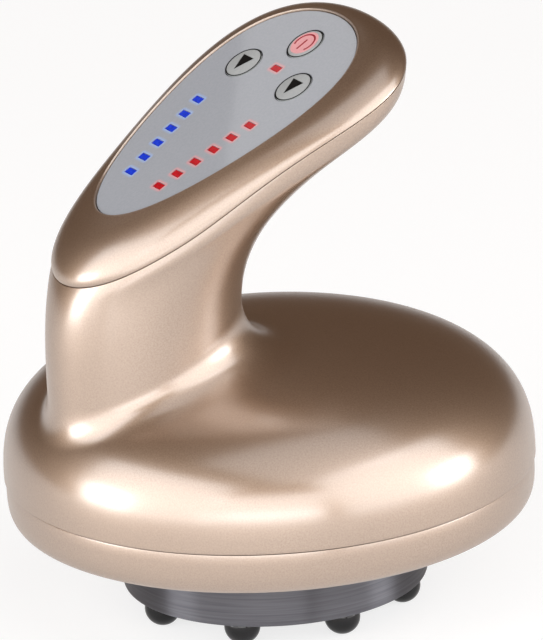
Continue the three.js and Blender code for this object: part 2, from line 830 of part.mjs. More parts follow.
// Lower housing: rounded shell with a tongue at the seam, posts, screw holes and the socket's window
function lowerHousing() {
  const tongueOuter = domeRadius - shellWall - tongueGap;
  const insideDepth = lowerDepth - shellWall;
  const outer = lowerCorner(lowerRadius, lowerCornerRun, lowerDepth, cornerCount, 0, 1);
  outer[0][1] -= seamGap / 2;
  const inner = lowerCorner(
    lowerRadius - shellWall,
    lowerCornerRun - shellWall,
    insideDepth,
    cornerCount,
    1,
    0,
  );
  const shell = turned([
    ...outer,
    [cupHoleRadius, bottomHeight],
    [cupHoleRadius, floorHeight],
    ...inner.with(-1, [lowerRadius - shellWall, seamHeight - seamGap / 2]),
  ], aroundCount);
  const tongue = turned([
    [lowerRadius - shellWall / 2, seamHeight - tongueRoot],
    [tongueOuter - lipThickness, seamHeight - tongueRoot],
    [tongueOuter - lipThickness, seamHeight + tongueReach],
    [tongueOuter, seamHeight + tongueReach],
    [tongueOuter, seamHeight - seamGap],
    [lowerRadius - shellWall / 2, seamHeight - seamGap],
  ], insideCount);
  const postStart = floorHeight - shellWall / 2;
  const postEnd = chassisBottom - fit;
  const posts = housingPosts().map(([x, y]) => (
    rod(housingScrew.head + fit + postWall, postEnd - postStart).translate(x, y, postStart)
  ));
  const bores = housingPosts().flatMap(([x, y]) => [
    rod(housingScrew.shank + fit, postEnd).translate(x, y, overrun),
    rod(housingScrew.head + fit, housingScrewSeat() - overrun).translate(x, y, overrun),
  ]);
  const ringHoles = ringScrewPlaces().map(([x, y]) => (
    rod(ringScrew.shank + fit, floorHeight).translate(x, y, overrun)
  ));
  const socketBack = socketFace() - socketDepth - fit;
  const cradleHeight = seamHeight - socketDrop - postStart;
  const cradle = block(socketDepth, socketWidth + 2 * (fit + socketRib), cradleHeight)
    .translate(socketBack - socketRib + socketDepth / 2, 0, postStart);
  const window = alongX(plate(socketOutline(fit), domeRadius))
    .translate(socketBack, 0, seamHeight - socketDrop);
  return cut(join(shell, tongue, ...posts, cradle), ...bores, ...ringHoles, window);
}

// Stands a plate on its edge, its thickness along X and its width along Y.
function alongX(geometry) {
  return geometry.rotateX(Math.PI / 2).rotateZ(Math.PI / 2);
}

function socketOutline(outset) {
  const [halfWidth, halfHeight] = [socketWidth / 2 + outset, socketHeight / 2 + outset];
  return roundedBox(halfWidth, halfHeight, halfHeight);
}

function housingScrewSeat() {
  return bottomHeight + housingScrew.headHeight + fit;
}

function socketFace() {
  return lowerRadius - socketInset;
}

function ringScrewPlaces() {
  const first = Math.PI / beadCount;
  return Array.from({ length: 4 }, (_, i) => {
    const angle = first + (i * Math.PI) / 2;
    return [beadCircle * Math.cos(angle), beadCircle * Math.sin(angle)];
  });
}

function beadPlaces() {
  return Array.from({ length: beadCount }, (_, i) => {
    const angle = (2 * Math.PI * i) / beadCount;
    return [beadCircle * Math.cos(angle), beadCircle * Math.sin(angle)];
  });
}

// A ball with its poles on Z; a bead, or with a little more radius the socket it sits in.
function ball(radius) {
  return new THREE.SphereGeometry(radius, beadCountAround, beadCountUp).rotateX(Math.PI / 2);
}

// Suction ring: a channel open to the top, with bead sockets and screw posts in its floor
function cupRing() {
  const [outer, inner] = [ringRadius, ringInner];
  const channelFloor = ringLift + ringFloor;
  const wallTop = ringTop - gasketThickness - fit;
  const channel = turned([
    [outer - ringChamfer, ringLift],
    [outer, ringLift + ringChamfer],
    [outer, wallTop],
    [outer - ringWall, wallTop],
    [outer - ringWall, channelFloor],
    [inner + ringWall, channelFloor],
    [inner + ringWall, ringTop],
    [inner, ringTop],
    [inner, ringLift + ringChamfer],
    [inner + ringChamfer, ringLift],
  ]);
  const postHeight = ringTop - channelFloor + overrun;
  const posts = ringScrewPlaces().map(([x, y]) => (
    rod(ringScrew.shank + fit + postWall, postHeight).translate(x, y, channelFloor - overrun)
  ));
  const pilots = ringScrewPlaces().map(([x, y]) => (
    rod(ringScrew.shank + fit, ringScrew.length).translate(x, y, ringTop - ringScrew.length + overrun)
  ));
  const sockets = beadPlaces().map(([x, y]) => ball(beadRadius + fit).translate(x, y, beadRadius));
  return cut(join(channel, ...posts), ...pilots, ...sockets);
}

function cupGasket() {
  const [outer, inner] = [ringRadius - fit, ringRadius - ringWall];
  const bottom = ringTop - gasketThickness;
  return turned([[outer, ringTop], [inner, ringTop], [inner, bottom], [outer, bottom]]);
}

// Cup bowl: the liner of the cup, with the air port through its middle
function cupBowl() {
  const [outer, inner] = [bowlRadius, bowlRadius - bowlWall];
  const flangeBottom = floorHeight + fit;
  return turned([
    [outer, bowlRim],
    [outer, flangeBottom],
    [cupHoleRadius + bowlFlange / 2, flangeBottom],
    [cupHoleRadius + bowlFlange / 2, flangeBottom + bowlFlange / 2],
    [outer, flangeBottom + bowlFlange / 2],
    [outer, bowlTop - bowlCorner],
    [outer - bowlCorner, bowlTop],
    [nozzleRadius, bowlTop],
    [nozzleRadius, portTop],
    [portBore, portTop],
    [portBore, bowlInside - bossDrop],
    [bossRadius, bowlInside - bossDrop],
    [bossRadius, bowlInside],
    [inner - bowlCorner, bowlInside],
    [inner, bowlInside - bowlCorner],
    [inner, bowlRim],
  ]);
}

// A level washer between two radii, standing on z = 0.
function washer(outer, inner, thickness) {
  return turned([[outer, 0], [outer, thickness], [inner, thickness], [inner, 0]], roundCount);
}

function lightPlaces() {
  return Array.from({ length: lightCount }, (_, i) => {
    const angle = (2 * Math.PI * i) / lightCount;
    return [lightCircle * Math.cos(angle), lightCircle * Math.sin(angle)];
  });
}

// The stack under the bowl's ceiling, from the top down: light board, lens, heater plate, filter cap
const stackOuter = bowlRadius - bowlWall - bowlCorner - fit;
const stackInner = bossRadius + fit;
const lightBoardBottom = bowlInside - fit - lightBoardThickness;
const lensBottom = lightBoardBottom - lightHeight - fit - lensThickness;
const plateBottom = lensBottom - fit - plateThickness;
const capTop = plateBottom - fit;

function lightBoard() {
  const board = washer(stackOuter, stackInner, lightBoardThickness).translate(0, 0, lightBoardBottom);
  const lamps = lightPlaces().map(([x, y]) => (
    block(lightRadius, lightRadius, lightHeight + lightBoardThickness / 2)
      .translate(x, y, lightBoardBottom - lightHeight)
  ));
  return join(board, ...lamps);
}

function lightRing() {
  const lens = washer(stackOuter, stackInner, lensThickness).translate(0, 0, lensBottom);
  const pips = lightPlaces().map(([x, y]) => (
    rod(lightRadius, lensBottom - plateBottom + lensThickness / 2).translate(x, y, plateBottom)
  ));
  return join(lens, ...pips);
}

function heaterPlate() {
  const body = washer(bowlRadius - bowlWall - fit, stackInner, plateThickness).translate(0, 0, plateBottom);
  const holes = lightPlaces().map(([x, y]) => (
    rod(lightRadius + fit, plateThickness + 2 * overrun).translate(x, y, plateBottom - overrun)
  ));
  return cut(body, ...holes);
}

function filterCap() {
  const bottom = capTop - capDepth - capFloor;
  const body = turned([
    [0, bottom],
    [capRadius - overrun, bottom],
    [capRadius, bottom + overrun],
    [capRadius, capTop],
    [bossRadius + fit, capTop],
    [bossRadius + fit, bottom + capFloor],
    [0, bottom + capFloor],
  ], roundCount);
  const slots = Array.from({ length: capSlotCount }, (_, i) => {
    const angle = (2 * Math.PI * i) / capSlotCount;
    return rod(capSlotRadius, capFloor + 2 * overrun)
      .translate(capSlotCircle * Math.cos(angle), capSlotCircle * Math.sin(angle), bottom - overrun);
  });
  return cut(body, ...slots);
}

function suctionFilter() {
  const bottom = capTop - capDepth + fit;
  return rod(bossRadius, filterThickness, roundCount).translate(0, 0, bottom);
}

// Inner chassis: a plate on the lower housing's posts, with saddles for cell and motor
function saddle(side, axisHeight, radius) {
  const body = block(saddleThickness, 2 * saddleHalfWidth, saddleRise + chassisThickness / 2)
    .translate(0, side, chassisTop - chassisThickness / 2);
  const hollow = rod(radius + fit, saddleThickness + 2 * overrun, roundCount)
    .rotateY(Math.PI / 2)
    .translate(-saddleThickness / 2 - overrun, side, axisHeight);
  return cut(body, hollow);
}

function innerChassis() {
  const base = plate(roundedBox(chassisHalfLength, chassisHalfWidth, chassisCorner), chassisThickness)
    .translate(0, 0, chassisBottom);
  const root = chassisTop - chassisThickness / 2;
  const saddles = [
    saddle(-cellSide, cellHeight, cellRadius).translate(cellLength / 2 - 2 * saddleThickness, 0, 0),
    saddle(-cellSide, cellHeight, cellRadius).translate(-cellLength / 2 + 2 * saddleThickness, 0, 0),
    saddle(pumpSide, pumpHeight, motorRadius).translate(pumpFront + motorLength / 2, 0, 0),
    saddle(pumpSide, pumpHeight, pumpRadius).translate(pumpFront - pumpBodyLength / 2, 0, 0),
  ];
  const stops = [-1, 1].map((end) => (
    block(stopThickness, saddleHalfWidth, 2 * saddleRise).translate(end * stopPlace, -cellSide, root)
  ));
  const holderLength = mainBoardThickness + 2 * (fit + shellWall);
  const holders = [-1, 1].map((side) => (
    block(holderLength, shellWall, saddleRise)
      .translate(mainBoardPlace, side * (mainBoardWidth / 2 - 2 * shellWall), root)
  ));
  const groove = block(mainBoardThickness + 2 * fit, mainBoardWidth, mainBoardHeight)
    .translate(mainBoardPlace, 0, chassisTop);
  const centre = rod(chassisHole, chassisTop, roundCount).translate(0, 0, overrun);
  const holes = housingPosts().map(([x, y]) => (
    rod(housingScrew.shank + fit, chassisTop).translate(x, y, overrun)
  ));
  return cut(join(base, ...saddles, ...stops, ...holders), groove, centre, ...holes);
}

function batteryCell() {
  const profile = [
    [0, 0],
    [cellRadius - overrun / 2, 0],
    [cellRadius, overrun / 2],
    [cellRadius, cellLength - overrun / 2],
    [cellRadius - overrun / 2, cellLength],
    [cellTipRadius, cellLength],
    [cellTipRadius, cellLength + cellTipHeight],
    [0, cellLength + cellTipHeight],
  ];
  return turned(profile, roundCount).rotateY(Math.PI / 2).translate(-cellLength / 2, -cellSide, cellHeight);
}

// Pump pieces are turned along Z with the motor's front at zero, then laid along X by layPump.
function layPump(geometry) {
  return geometry.rotateY(Math.PI / 2).translate(pumpFront, pumpSide, pumpHeight);
}

function motorCan() {
  const inner = motorRadius - motorWall;
  return layPump(turned([
    [shaftRadius + fit, 0],
    [motorRadius, 0],
    [motorRadius, motorLength],
    [inner, motorLength],
    [inner, 2 * motorWall],
    [shaftRadius + fit, 2 * motorWall],
  ], roundCount));
}

function motorEndCap() {
  const start = motorLength + fit;
  return layPump(turned([
    [shaftRadius + fit, start],
    [motorRadius, start],
    [motorRadius, start + endCapLength / 2],
    [motorRadius / 2, start + endCapLength],
    [shaftRadius + fit, start + endCapLength],
  ], roundCount));
}

function pumpRotor() {
  const crankStart = -crankLength - 2 * overrun;
  const length = motorLength + endCapLength - overrun - crankStart;
  const shaft = rod(shaftRadius, length).translate(0, 0, crankStart);
  const middle = (motorLength - armatureLength) / 2 + motorWall;
  const drum = rod(armatureRadius, armatureLength, roundCount).translate(0, 0, middle);
  const slots = Array.from({ length: armatureSlots }, (_, i) => (
    block(armatureRadius, armatureSlotWidth, armatureLength + 2 * overrun)
      .translate(armatureRadius, 0, middle - overrun)
      .rotateZ((2 * Math.PI * i) / armatureSlots)
  ));
  const crank = rod(crankRadius, crankLength, roundCount).translate(crankOffset, 0, crankStart);
  return layPump(join(cut(drum, ...slots), shaft, crank));
}

function pumpBody() {
  const [near, far] = [-fit, -pumpBodyLength];
  const pocket = crankRadius + crankOffset + overrun;
  const depth = crankLength + 4 * overrun;
  return layPump(turned([
    [pocket, near],
    [pumpRadius, near],
    [pumpRadius, far],
    [0, far],
    [0, near - depth],
    [pocket, near - depth],
  ], roundCount));
}

function pumpDiaphragm() {
  const start = -pumpBodyLength - fit - diaphragmThickness;
  return layPump(rod(pumpRadius - fit, diaphragmThickness, roundCount).translate(0, 0, start));
}

// The head's inlet nozzle points to the middle of the housing, at the tee.
function pumpHead() {
  const start = -pumpBodyLength - 2 * fit - diaphragmThickness;
  const body = layPump(rod(pumpRadius, pumpHeadLength, roundCount).translate(0, 0, start - pumpHeadLength));
  const length = pumpRadius / 2 + nozzleReach;
  const lay = (geometry) => geometry.rotateX(Math.PI / 2)
    .translate(teePlace, pumpSide - pumpRadius / 2, pumpHeight);
  return cut(join(body, lay(rod(nozzleRadius, length))), lay(rod(portBore, length + overrun)));
}

// Release valve: body with a bore, plunger on a spring, cap with the side nozzle
function valveBody() {
  const base = chassisTop + fit;
  const body = block(valveWidth, valveWidth, valveHeight).translate(0, 0, base);
  const bore = rod(plungerRadius + fit, valveHeight, roundCount).translate(0, 0, base + valveFloor);
  const vent = rod(portBore, valveWidth).rotateX(Math.PI / 2)
    .translate(0, 0, base + valveHeight - overrun - portBore);
  return cut(body, bore, vent).translate(valvePlace, valveSide, 0);
}

function valveCap() {
  const base = chassisTop + 2 * fit + valveHeight;
  const body = block(valveWidth, valveWidth, valveCapHeight).translate(0, 0, base);
  const length = valveWidth / 2 + nozzleReach;
  const nozzle = rod(nozzleRadius, length - valveWidth / 4).rotateY(Math.PI / 2)
    .translate(valveWidth / 4, 0, pumpHeight);
  const bore = rod(portBore, length + overrun).rotateY(Math.PI / 2).translate(0, 0, pumpHeight);
  const drop = rod(portBore, valveCapHeight).translate(0, 0, pumpHeight - valveCapHeight);
  return cut(join(body, nozzle), bore, drop).translate(valvePlace, valveSide, 0);
}

function valvePlunger() {
  const bottom = plungerTop - plungerLength;
  return turned([
    [0, bottom],
    [plungerRadius, bottom],
    [plungerRadius, plungerTop - overrun],
    [plungerRadius - overrun, plungerTop],
    [0, plungerTop],
  ], roundCount).translate(valvePlace, valveSide, 0);
}

class Helix extends THREE.Curve {
  constructor(radius, height, turns) {
    super();
    Object.assign(this, { radius, height, turns });
  }

  getPoint(share, target = new THREE.Vector3()) {
    const angle = 2 * Math.PI * this.turns * share;
    return target.set(this.radius * Math.cos(angle), this.radius * Math.sin(angle), this.height * share);
  }
}

function valveSpring() {
  const room = plungerTop - plungerLength - springSeat - 2 * (fit + springWire);
  const curve = new Helix(springRadius, room, springTurns);
  return tube(curve, springWire, 0, springTurns * springStepsPerTurn, cableCount)
    .translate(valvePlace, valveSide, springSeat + fit + springWire);
}

// Air line: a tee between pump, cup and valve, and the hoses pushed over their nozzles
function hoseTee() {
  const centre = [teePlace, valveSide, pumpHeight];
  const through = rod(nozzleRadius, 2 * teeArm).translate(0, 0, -teeArm).rotateY(Math.PI / 2);
  const branch = rod(nozzleRadius, teeArm).rotateX(-Math.PI / 2);
  const middle = rod(teeBody, 2 * teeBody).translate(0, 0, -teeBody);
  const throughBore = rod(portBore, 2 * teeArm + 2 * overrun).translate(0, 0, -teeArm - overrun)
    .rotateY(Math.PI / 2);
  const branchBore = rod(portBore, teeArm + overrun).rotateX(-Math.PI / 2);
  return cut(join(through, branch, middle), throughBore, branchBore).translate(...centre);
}

function straightHose(from, to) {
  const curve = new THREE.LineCurve3(new THREE.Vector3(...from), new THREE.Vector3(...to));
  return tube(curve, hoseRadius, hoseBore, 1);
}

function pumpHose() {
  return straightHose(
    [teePlace, valveSide + teeBody + fit, pumpHeight],
    [teePlace, pumpSide - pumpRadius - 2 * fit, pumpHeight],
  );
}

function valveHose() {
  return straightHose(
    [teePlace - teeBody - fit, valveSide, pumpHeight],
    [valvePlace + valveWidth / 2 + fit, valveSide, pumpHeight],
  );
}

// From the bowl's port straight up, then over to the tee
function cupHose() {
  const start = bowlTop + overrun + fit;
  const end = new THREE.Vector3(teePlace + teeBody + fit, valveSide, pumpHeight);
  const points = cupHoseShares.map(([along, side, rise]) => new THREE.Vector3(
    along * end.x,
    side * end.y,
    THREE.MathUtils.lerp(start, end.z, rise),
  ));
  return tube(new THREE.CatmullRomCurve3(points), hoseRadius, hoseBore, cupHoseSteps);
}

// Main board, on edge in the chassis, with its chip, coil and battery plug
function mainBoard() {
  const base = chassisTop + fit;
  const body = block(mainBoardThickness, mainBoardWidth, mainBoardHeight).translate(0, 0, base);
  const middle = base + mainBoardHeight / 2;
  const chip = block(chipHeight + mainBoardThickness, chipSide, chipSide)
    .translate(-chipHeight / 2, 0, middle - chipSide / 2);
  const coil = rod(coilRadius, coilHeight + mainBoardThickness / 2, roundCount)
    .rotateY(-Math.PI / 2)
    .translate(0, mainBoardWidth / 4, middle);
  const plug = block(coilHeight + mainBoardThickness, chipSide, 2 * coilRadius)
    .translate(-coilHeight / 2, -mainBoardWidth / 4, middle - coilRadius);
  return join(body, chip, coil, plug).translate(mainBoardPlace, 0, 0);
}

// Charging socket: a thin shell with a tongue, its mouth in the lower housing's window
function chargingSocket() {
  const shell = cut(plate(socketOutline(0), socketDepth), plate(socketOutline(-socketWall), socketDepth)
    .translate(0, 0, socketBackWall));
  const tongue = block(2 * (socketWidth / 2 - socketHeight / 2), socketTongue, socketDepth - socketBackWall)
    .translate(0, 0, socketBackWall / 2);
  return alongX(join(shell, tongue)).translate(socketFace() - socketDepth, 0, seamHeight - socketDrop);
}

// The lead that runs inside, from the control board down the neck to the main board
function handleCable() {
  const boardBack = -controlBoardDepth - boardThickness;
  const top = panelToHousing(new THREE.Vector3(-cableSetback, 0, boardBack - fit - cableRadius));
  const end = chassisTop + 2 * fit + mainBoardHeight;
  const route = [
    [top.x, top.z],
    [top.x, top.z - cableBend],
    [neckCentre, neckFrontHeight],
    [neckCentre + cableBend, domeRise],
    [neckCentre + 3 * cableBend, domeRise - cableBend],
    [0, domeRise - cableBend],
    [mainBoardPlace - 2 * cableBend, domeRise - cableBend],
    [mainBoardPlace, end - seamHeight + cableBend / 2],
    [mainBoardPlace, end - seamHeight],
  ];
  const points = route.map(([x, z]) => new THREE.Vector3(x, 0, seamHeight + z));
  return tube(new THREE.CatmullRomCurve3(points), cableRadius, 0, cableSteps, cableCount);
}

// The assembly

function piece(name, geometry, finish, place = [0, 0, 0]) {
  const mesh = new THREE.Mesh(weld(geometry), new THREE.MeshStandardMaterial(finish));
  mesh.name = name;
  mesh.position.set(...place);
  return mesh;
}

const massager = new THREE.Group();

const housingFrame = new THREE.Group();
housingFrame.position.set(0, 0, seamHeight);
housingFrame.add(piece('upper_housing', upperHousing(), paint));

const panelFrame = new THREE.Group();
panelFrame.position.set(panelReach, 0, panelRise);
panelFrame.rotation.set(0, -tilt, 0);
panelFrame.add(
  piece('handle_cover', handleCover(), paint),
  piece('control_panel', controlPanel(), panelGrey),
  piece('suction_light_guide', lightGuide(1), blueLight),
  piece('heat_light_guide', lightGuide(-1), redLight),
  piece('status_light_guide', statusGuide(), redLight),
  piece('control_board', controlBoard(), boardGreen),
);
for (const [name, [x, y]] of Object.entries(buttonPlaces())) {
  panelFrame.add(
    piece(`${name}_button`, buttonCap(), keyGrey, [x, y, 0]),
    piece(`${name}_switch`, tactSwitch(), blackPlastic, [x, y, 0]),
  );
}
boardPosts().slice(1).forEach(([x, y], i) => {
  const seat = -controlBoardDepth - boardThickness - fit - boardScrew.headHeight;
  panelFrame.add(piece(`board_screw_${i + 1}`, screw(boardScrew), steel, [x, y, seat]));
});
housingFrame.add(panelFrame);

massager.add(
  housingFrame,
  piece('lower_housing', lowerHousing(), paint),
  piece('cup_gasket', cupGasket(), foam),
  piece('cup_ring', cupRing(), chrome),
  piece('cup_bowl', cupBowl(), blackPlastic),
  piece('light_board', lightBoard(), boardGreen),
  piece('light_ring', lightRing(), redLight),
  piece('heater_plate', heaterPlate(), steel),
  piece('filter_cap', filterCap(), blackPlastic),
  piece('suction_filter', suctionFilter(), foam),
);
beadPlaces().forEach(([x, y], i) => {
  massager.add(piece(`bead_${i + 1}`, ball(beadRadius), blackGlass, [x, y, beadRadius]));
});
ringScrewPlaces().forEach(([x, y], i) => {
  const geometry = screw(ringScrew).rotateX(Math.PI);
  const head = floorHeight + fit + ringScrew.headHeight;
  massager.add(piece(`ring_screw_${i + 1}`, geometry, steel, [x, y, head]));
});
housingPosts().forEach(([x, y], i) => {
  const head = housingScrewSeat() - fit - housingScrew.headHeight;
  massager.add(piece(`housing_screw_${i + 1}`, screw(housingScrew), steel, [x, y, head]));
});
massager.add(
  piece('inner_chassis', innerChassis(), whitePlastic),
  piece('battery_cell', batteryCell(), cellBlue),
  piece('pump_motor', motorCan(), steel),
  piece('motor_end_cap', motorEndCap(), blackPlastic),
  piece('pump_rotor', pumpRotor(), copper),
  piece('pump_body', pumpBody(), blackPlastic),
  piece('pump_diaphragm', pumpDiaphragm(), silicone),
  piece('pump_head', pumpHead(), blackPlastic),
  piece('valve_body', valveBody(), steel),
  piece('valve_cap', valveCap(), whitePlastic),
  piece('valve_plunger', valvePlunger(), steel),
  piece('valve_spring', valveSpring(), steel),
  piece('hose_tee', hoseTee(), whitePlastic),
  piece('pump_hose', pumpHose(), silicone),
  piece('valve_hose', valveHose(), silicone),
  piece('cup_hose', cupHose(), silicone),
  piece('main_board', mainBoard(), boardGreen),
  piece('charging_socket', chargingSocket(), steel),
  piece('handle_cable', handleCable(), foam),
);

export default massager;
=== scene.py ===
"""Looks of an electric cupping massager: lacquered housing and handle, printed control panel,
black-chromed suction ring with glossy beads, and the finishes of everything inside."""

from __future__ import annotations

import json
import logging
import math
from dataclasses import dataclass, field
from enum import Enum

import bmesh
import bpy
import numpy as np
from mathutils import Matrix, Vector

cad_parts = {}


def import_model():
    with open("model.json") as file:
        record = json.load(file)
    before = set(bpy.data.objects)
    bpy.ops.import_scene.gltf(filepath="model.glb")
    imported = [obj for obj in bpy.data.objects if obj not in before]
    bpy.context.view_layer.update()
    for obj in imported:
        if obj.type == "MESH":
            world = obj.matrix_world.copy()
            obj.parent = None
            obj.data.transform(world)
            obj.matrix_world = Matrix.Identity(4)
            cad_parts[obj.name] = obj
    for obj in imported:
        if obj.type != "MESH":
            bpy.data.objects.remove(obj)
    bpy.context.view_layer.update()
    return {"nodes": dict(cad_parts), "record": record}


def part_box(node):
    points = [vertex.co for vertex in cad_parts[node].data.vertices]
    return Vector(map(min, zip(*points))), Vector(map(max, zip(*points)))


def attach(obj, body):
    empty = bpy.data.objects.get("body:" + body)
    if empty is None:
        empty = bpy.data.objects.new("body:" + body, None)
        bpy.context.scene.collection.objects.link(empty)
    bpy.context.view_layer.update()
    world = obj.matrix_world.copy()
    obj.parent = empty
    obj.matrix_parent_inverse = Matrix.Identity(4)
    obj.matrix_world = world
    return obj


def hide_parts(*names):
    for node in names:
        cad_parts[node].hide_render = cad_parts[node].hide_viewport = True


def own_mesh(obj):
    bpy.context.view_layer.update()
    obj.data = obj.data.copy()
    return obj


LOG = logging.getLogger("massager")
WHITE = (1.0, 1.0, 1.0, 1.0)
UPWARD = np.array([0.0, 0.0, 1.0])
# Lengths are in millimetres up to where Blender takes them, which is in metres.
MM = 0.001
# Points round a form, from the whole housing down to its posts.
AROUND, LARGE_AROUND, MEDIUM_AROUND, SMALL_AROUND, TINY_AROUND = 192, 128, 96, 48, 32
# Edges that turn by more than these stay sharp.
SHARP_DEGREES, PLATE_SHARP_DEGREES = 38.0, 30.0
# A plate's faces whose normal is nearer to upright than this are flat.
LEVEL = 0.99
# Corners that lie nearer to each other than this, in metres, are one.
WELD = 1e-7

Pair = tuple[float, float]
Outline = list[Pair]
Faces = list[tuple[int, ...]]
Inputs = dict[str | int, object]
Stops = tuple[tuple[float, str], ...]
Tree = bpy.types.NodeTree
Node = bpy.types.Node
Socket = bpy.types.NodeSocket
Material = bpy.types.Material
Piece = bpy.types.Object


class Body(Enum):
    """The bodies that the finer pieces ride on."""

    HOUSING = "housing"
    POWER_KEY = "power_key"
    SUCTION_KEY = "suction_key"
    HEAT_KEY = "heat_key"


class Slot(Enum):
    """The material slots of the record."""

    CHAMPAGNE_PAINT = "champagne_paint"
    DARK_CHROME = "dark_chrome"
    BLACK_BEAD = "black_bead"
    PANEL_GREY = "panel_grey"
    KEY_GREY = "key_grey"
    BLUE_LIGHT = "blue_light"
    RED_LIGHT = "red_light"
    BLACK_PLASTIC = "black_plastic"
    WHITE_PLASTIC = "white_plastic"
    BOARD_GREEN = "board_green"
    PLAIN_STEEL = "plain_steel"
    WARM_PLATE = "warm_plate"
    CELL_BLUE = "cell_blue"
    COPPER_WOUND = "copper_wound"
    SILICONE = "silicone"
    BLACK_FOAM = "black_foam"


# Colour and node helpers


def linear(code: str) -> tuple[float, float, float, float]:
    """Turn an sRGB hex colour to linear values.

    Args:
        code: Six hex digits after a hash sign.

    Returns:
        Linear red, green and blue, and an alpha of one.
    """
    shares = [int(code[i : i + 2], 16) / 255 for i in (1, 3, 5)]
    values = [s / 12.92 if s <= 0.04045 else ((s + 0.055) / 1.055) ** 2.4 for s in shares]
    return (values[0], values[1], values[2], 1.0)


def add_node(
    tree: Tree,
    kind: str,
    inputs: Inputs | None = None,
    stops: Stops = (),
    **settings: object,
) -> Node:
    """Add a node with its settings, and set or link its inputs.

    Args:
        tree: The node tree that it goes into.
        kind: The node's type name, after the ShaderNode that each of them starts with.
        inputs: Values, sockets or nodes, by the name or number of the input. A node is linked
            by its first output.
        stops: The two places of a colour ramp, from 0 to 1, with their sRGB hex colours.
        settings: The node's own properties by name.

    Returns:
        The new node.
    """
    node = tree.nodes.new("ShaderNode" + kind)
    for name, value in settings.items():
        setattr(node, name, value)
    for key, value in (inputs or {}).items():
        source = value.outputs[0] if isinstance(value, Node) else value
        if isinstance(source, Socket):
            tree.links.new(source, node.inputs[key])
        else:
            node.inputs[key].default_value = source
    for i, (place, code) in enumerate(stops):
        node.color_ramp.elements[i].position = place
        node.color_ramp.elements[i].color = linear(code)
    return node


def new_material(name: str) -> Material:
    """Make a material whose node tree holds nothing yet."""
    material = bpy.data.materials.new(name)
    material.use_nodes = True
    material.node_tree.nodes.clear()
    return material


def grained(place: Socket | Node, size: float, **more: float) -> Inputs:
    """Give the inputs of a pattern that repeats about every so many millimetres.

    Args:
        place: Where on the object it is read.
        size: The pattern's size in millimetres.
        more: Its other inputs by name.

    Returns:
        The inputs.
    """
    return {"Vector": place, "Scale": 1 / (size * MM), **more}


def toned(tree: Tree, pattern: Node, stops: Stops, rough: Pair) -> Inputs:
    """Let one pattern shade both the colour and the gloss.

    Args:
        tree: The material's node tree.
        pattern: The node whose first output is the pattern.
        stops: Two places on the pattern, from 0 to 1, with their sRGB hex colours.
        rough: The roughness where the pattern is 0 and where it is 1.

    Returns:
        The base colour and the roughness of a shader.
    """
    spread = {"Value": pattern, "To Min": rough[0], "To Max": rough[1]}
    return {
        "Base Color": add_node(tree, "ValToRGB", {"Fac": pattern}, stops),
        "Roughness": add_node(tree, "MapRange", spread),
    }


# Mesh helpers


def turns(count: int = AROUND) -> np.ndarray:
    """Give evenly spaced angles round a full turn, from zero."""
    return np.linspace(0, 2 * math.pi, count, endpoint=False)


def linked(name: str, data: bpy.types.ID) -> Piece:
    """Make an object of some data and link it to the scene."""
    made = bpy.data.objects.new(name, data)
    bpy.context.scene.collection.objects.link(made)
    return made


def weld(mesh: bpy.types.Mesh, outward: bool = False) -> None:
    """Join a mesh's corners that lie in one place.

    Args:
        mesh: The mesh.
        outward: Whether its faces are also turned to look outwards.
    """
    tool = bmesh.new()
    tool.from_mesh(mesh)
    bmesh.ops.remove_doubles(tool, verts=tool.verts, dist=WELD)
    if outward:
        bmesh.ops.recalc_face_normals(tool, faces=tool.faces)
    tool.to_mesh(mesh)
    tool.free()


def smooth_object(name: str, points: np.ndarray, faces: Faces, edge_round: float = 0.0) -> Piece:
    """Make a smooth-shaded mesh object from points in millimetres.

    Args:
        name: The object's name.
        points: Rows of X, Y and Z in millimetres.
        faces: Corner numbers of each face.
        edge_round: Width in millimetres by which sharp edges are rounded.

    Returns:
        The object, linked to the scene.
    """
    mesh = bpy.data.meshes.new(name)
    mesh.from_pydata([tuple(p) for p in np.asarray(points, float) * MM], [], faces)
    weld(mesh, outward=True)
    piece = linked(name, mesh)
    if edge_round:
        bevel = piece.modifiers.new("edge_round", "BEVEL")
        bevel.width = edge_round * MM
        bevel.segments = 2
        bevel.limit_method = "ANGLE"
        bevel.angle_limit = math.radians(SHARP_DEGREES)
        bevel.use_clamp_overlap = True
        apply_modifiers(piece)
    shade(piece)
    return piece


def shade(piece: Piece, sharp_degrees: float = SHARP_DEGREES) -> None:
    """Shade a mesh smooth, with sharp edges where it turns by more than an angle.

    Args:
        piece: The mesh object.
        sharp_degrees: The angle.
    """
    for polygon in piece.data.polygons:
        polygon.use_smooth = True
    piece.data.set_sharp_from_angle(angle=math.radians(sharp_degrees))


def apply_modifiers(piece: Piece) -> None:
    """Replace a piece's mesh by what its modifiers make of it."""
    graph = bpy.context.evaluated_depsgraph_get()
    made = bpy.data.meshes.new_from_object(piece.evaluated_get(graph))
    piece.modifiers.clear()
    old = piece.data
    piece.data = made
    bpy.data.meshes.remove(old)


def ring_faces(rings: int, count: int, closed: bool) -> Faces:
    """Give the four-cornered faces between rings of points.

    Args:
        rings: The number of rings.
        count: The number of points on each.
        closed: Whether the last ring joins the first.

    Returns:
        Corner numbers of each face.
    """
    last = rings if closed else rings - 1
    return [
        (
            i * count + j,
            i * count + (j + 1) % count,
            ((i + 1) % rings) * count + (j + 1) % count,
            ((i + 1) % rings) * count + j,
        )
        for i in range(last)
        for j in range(count)
    ]


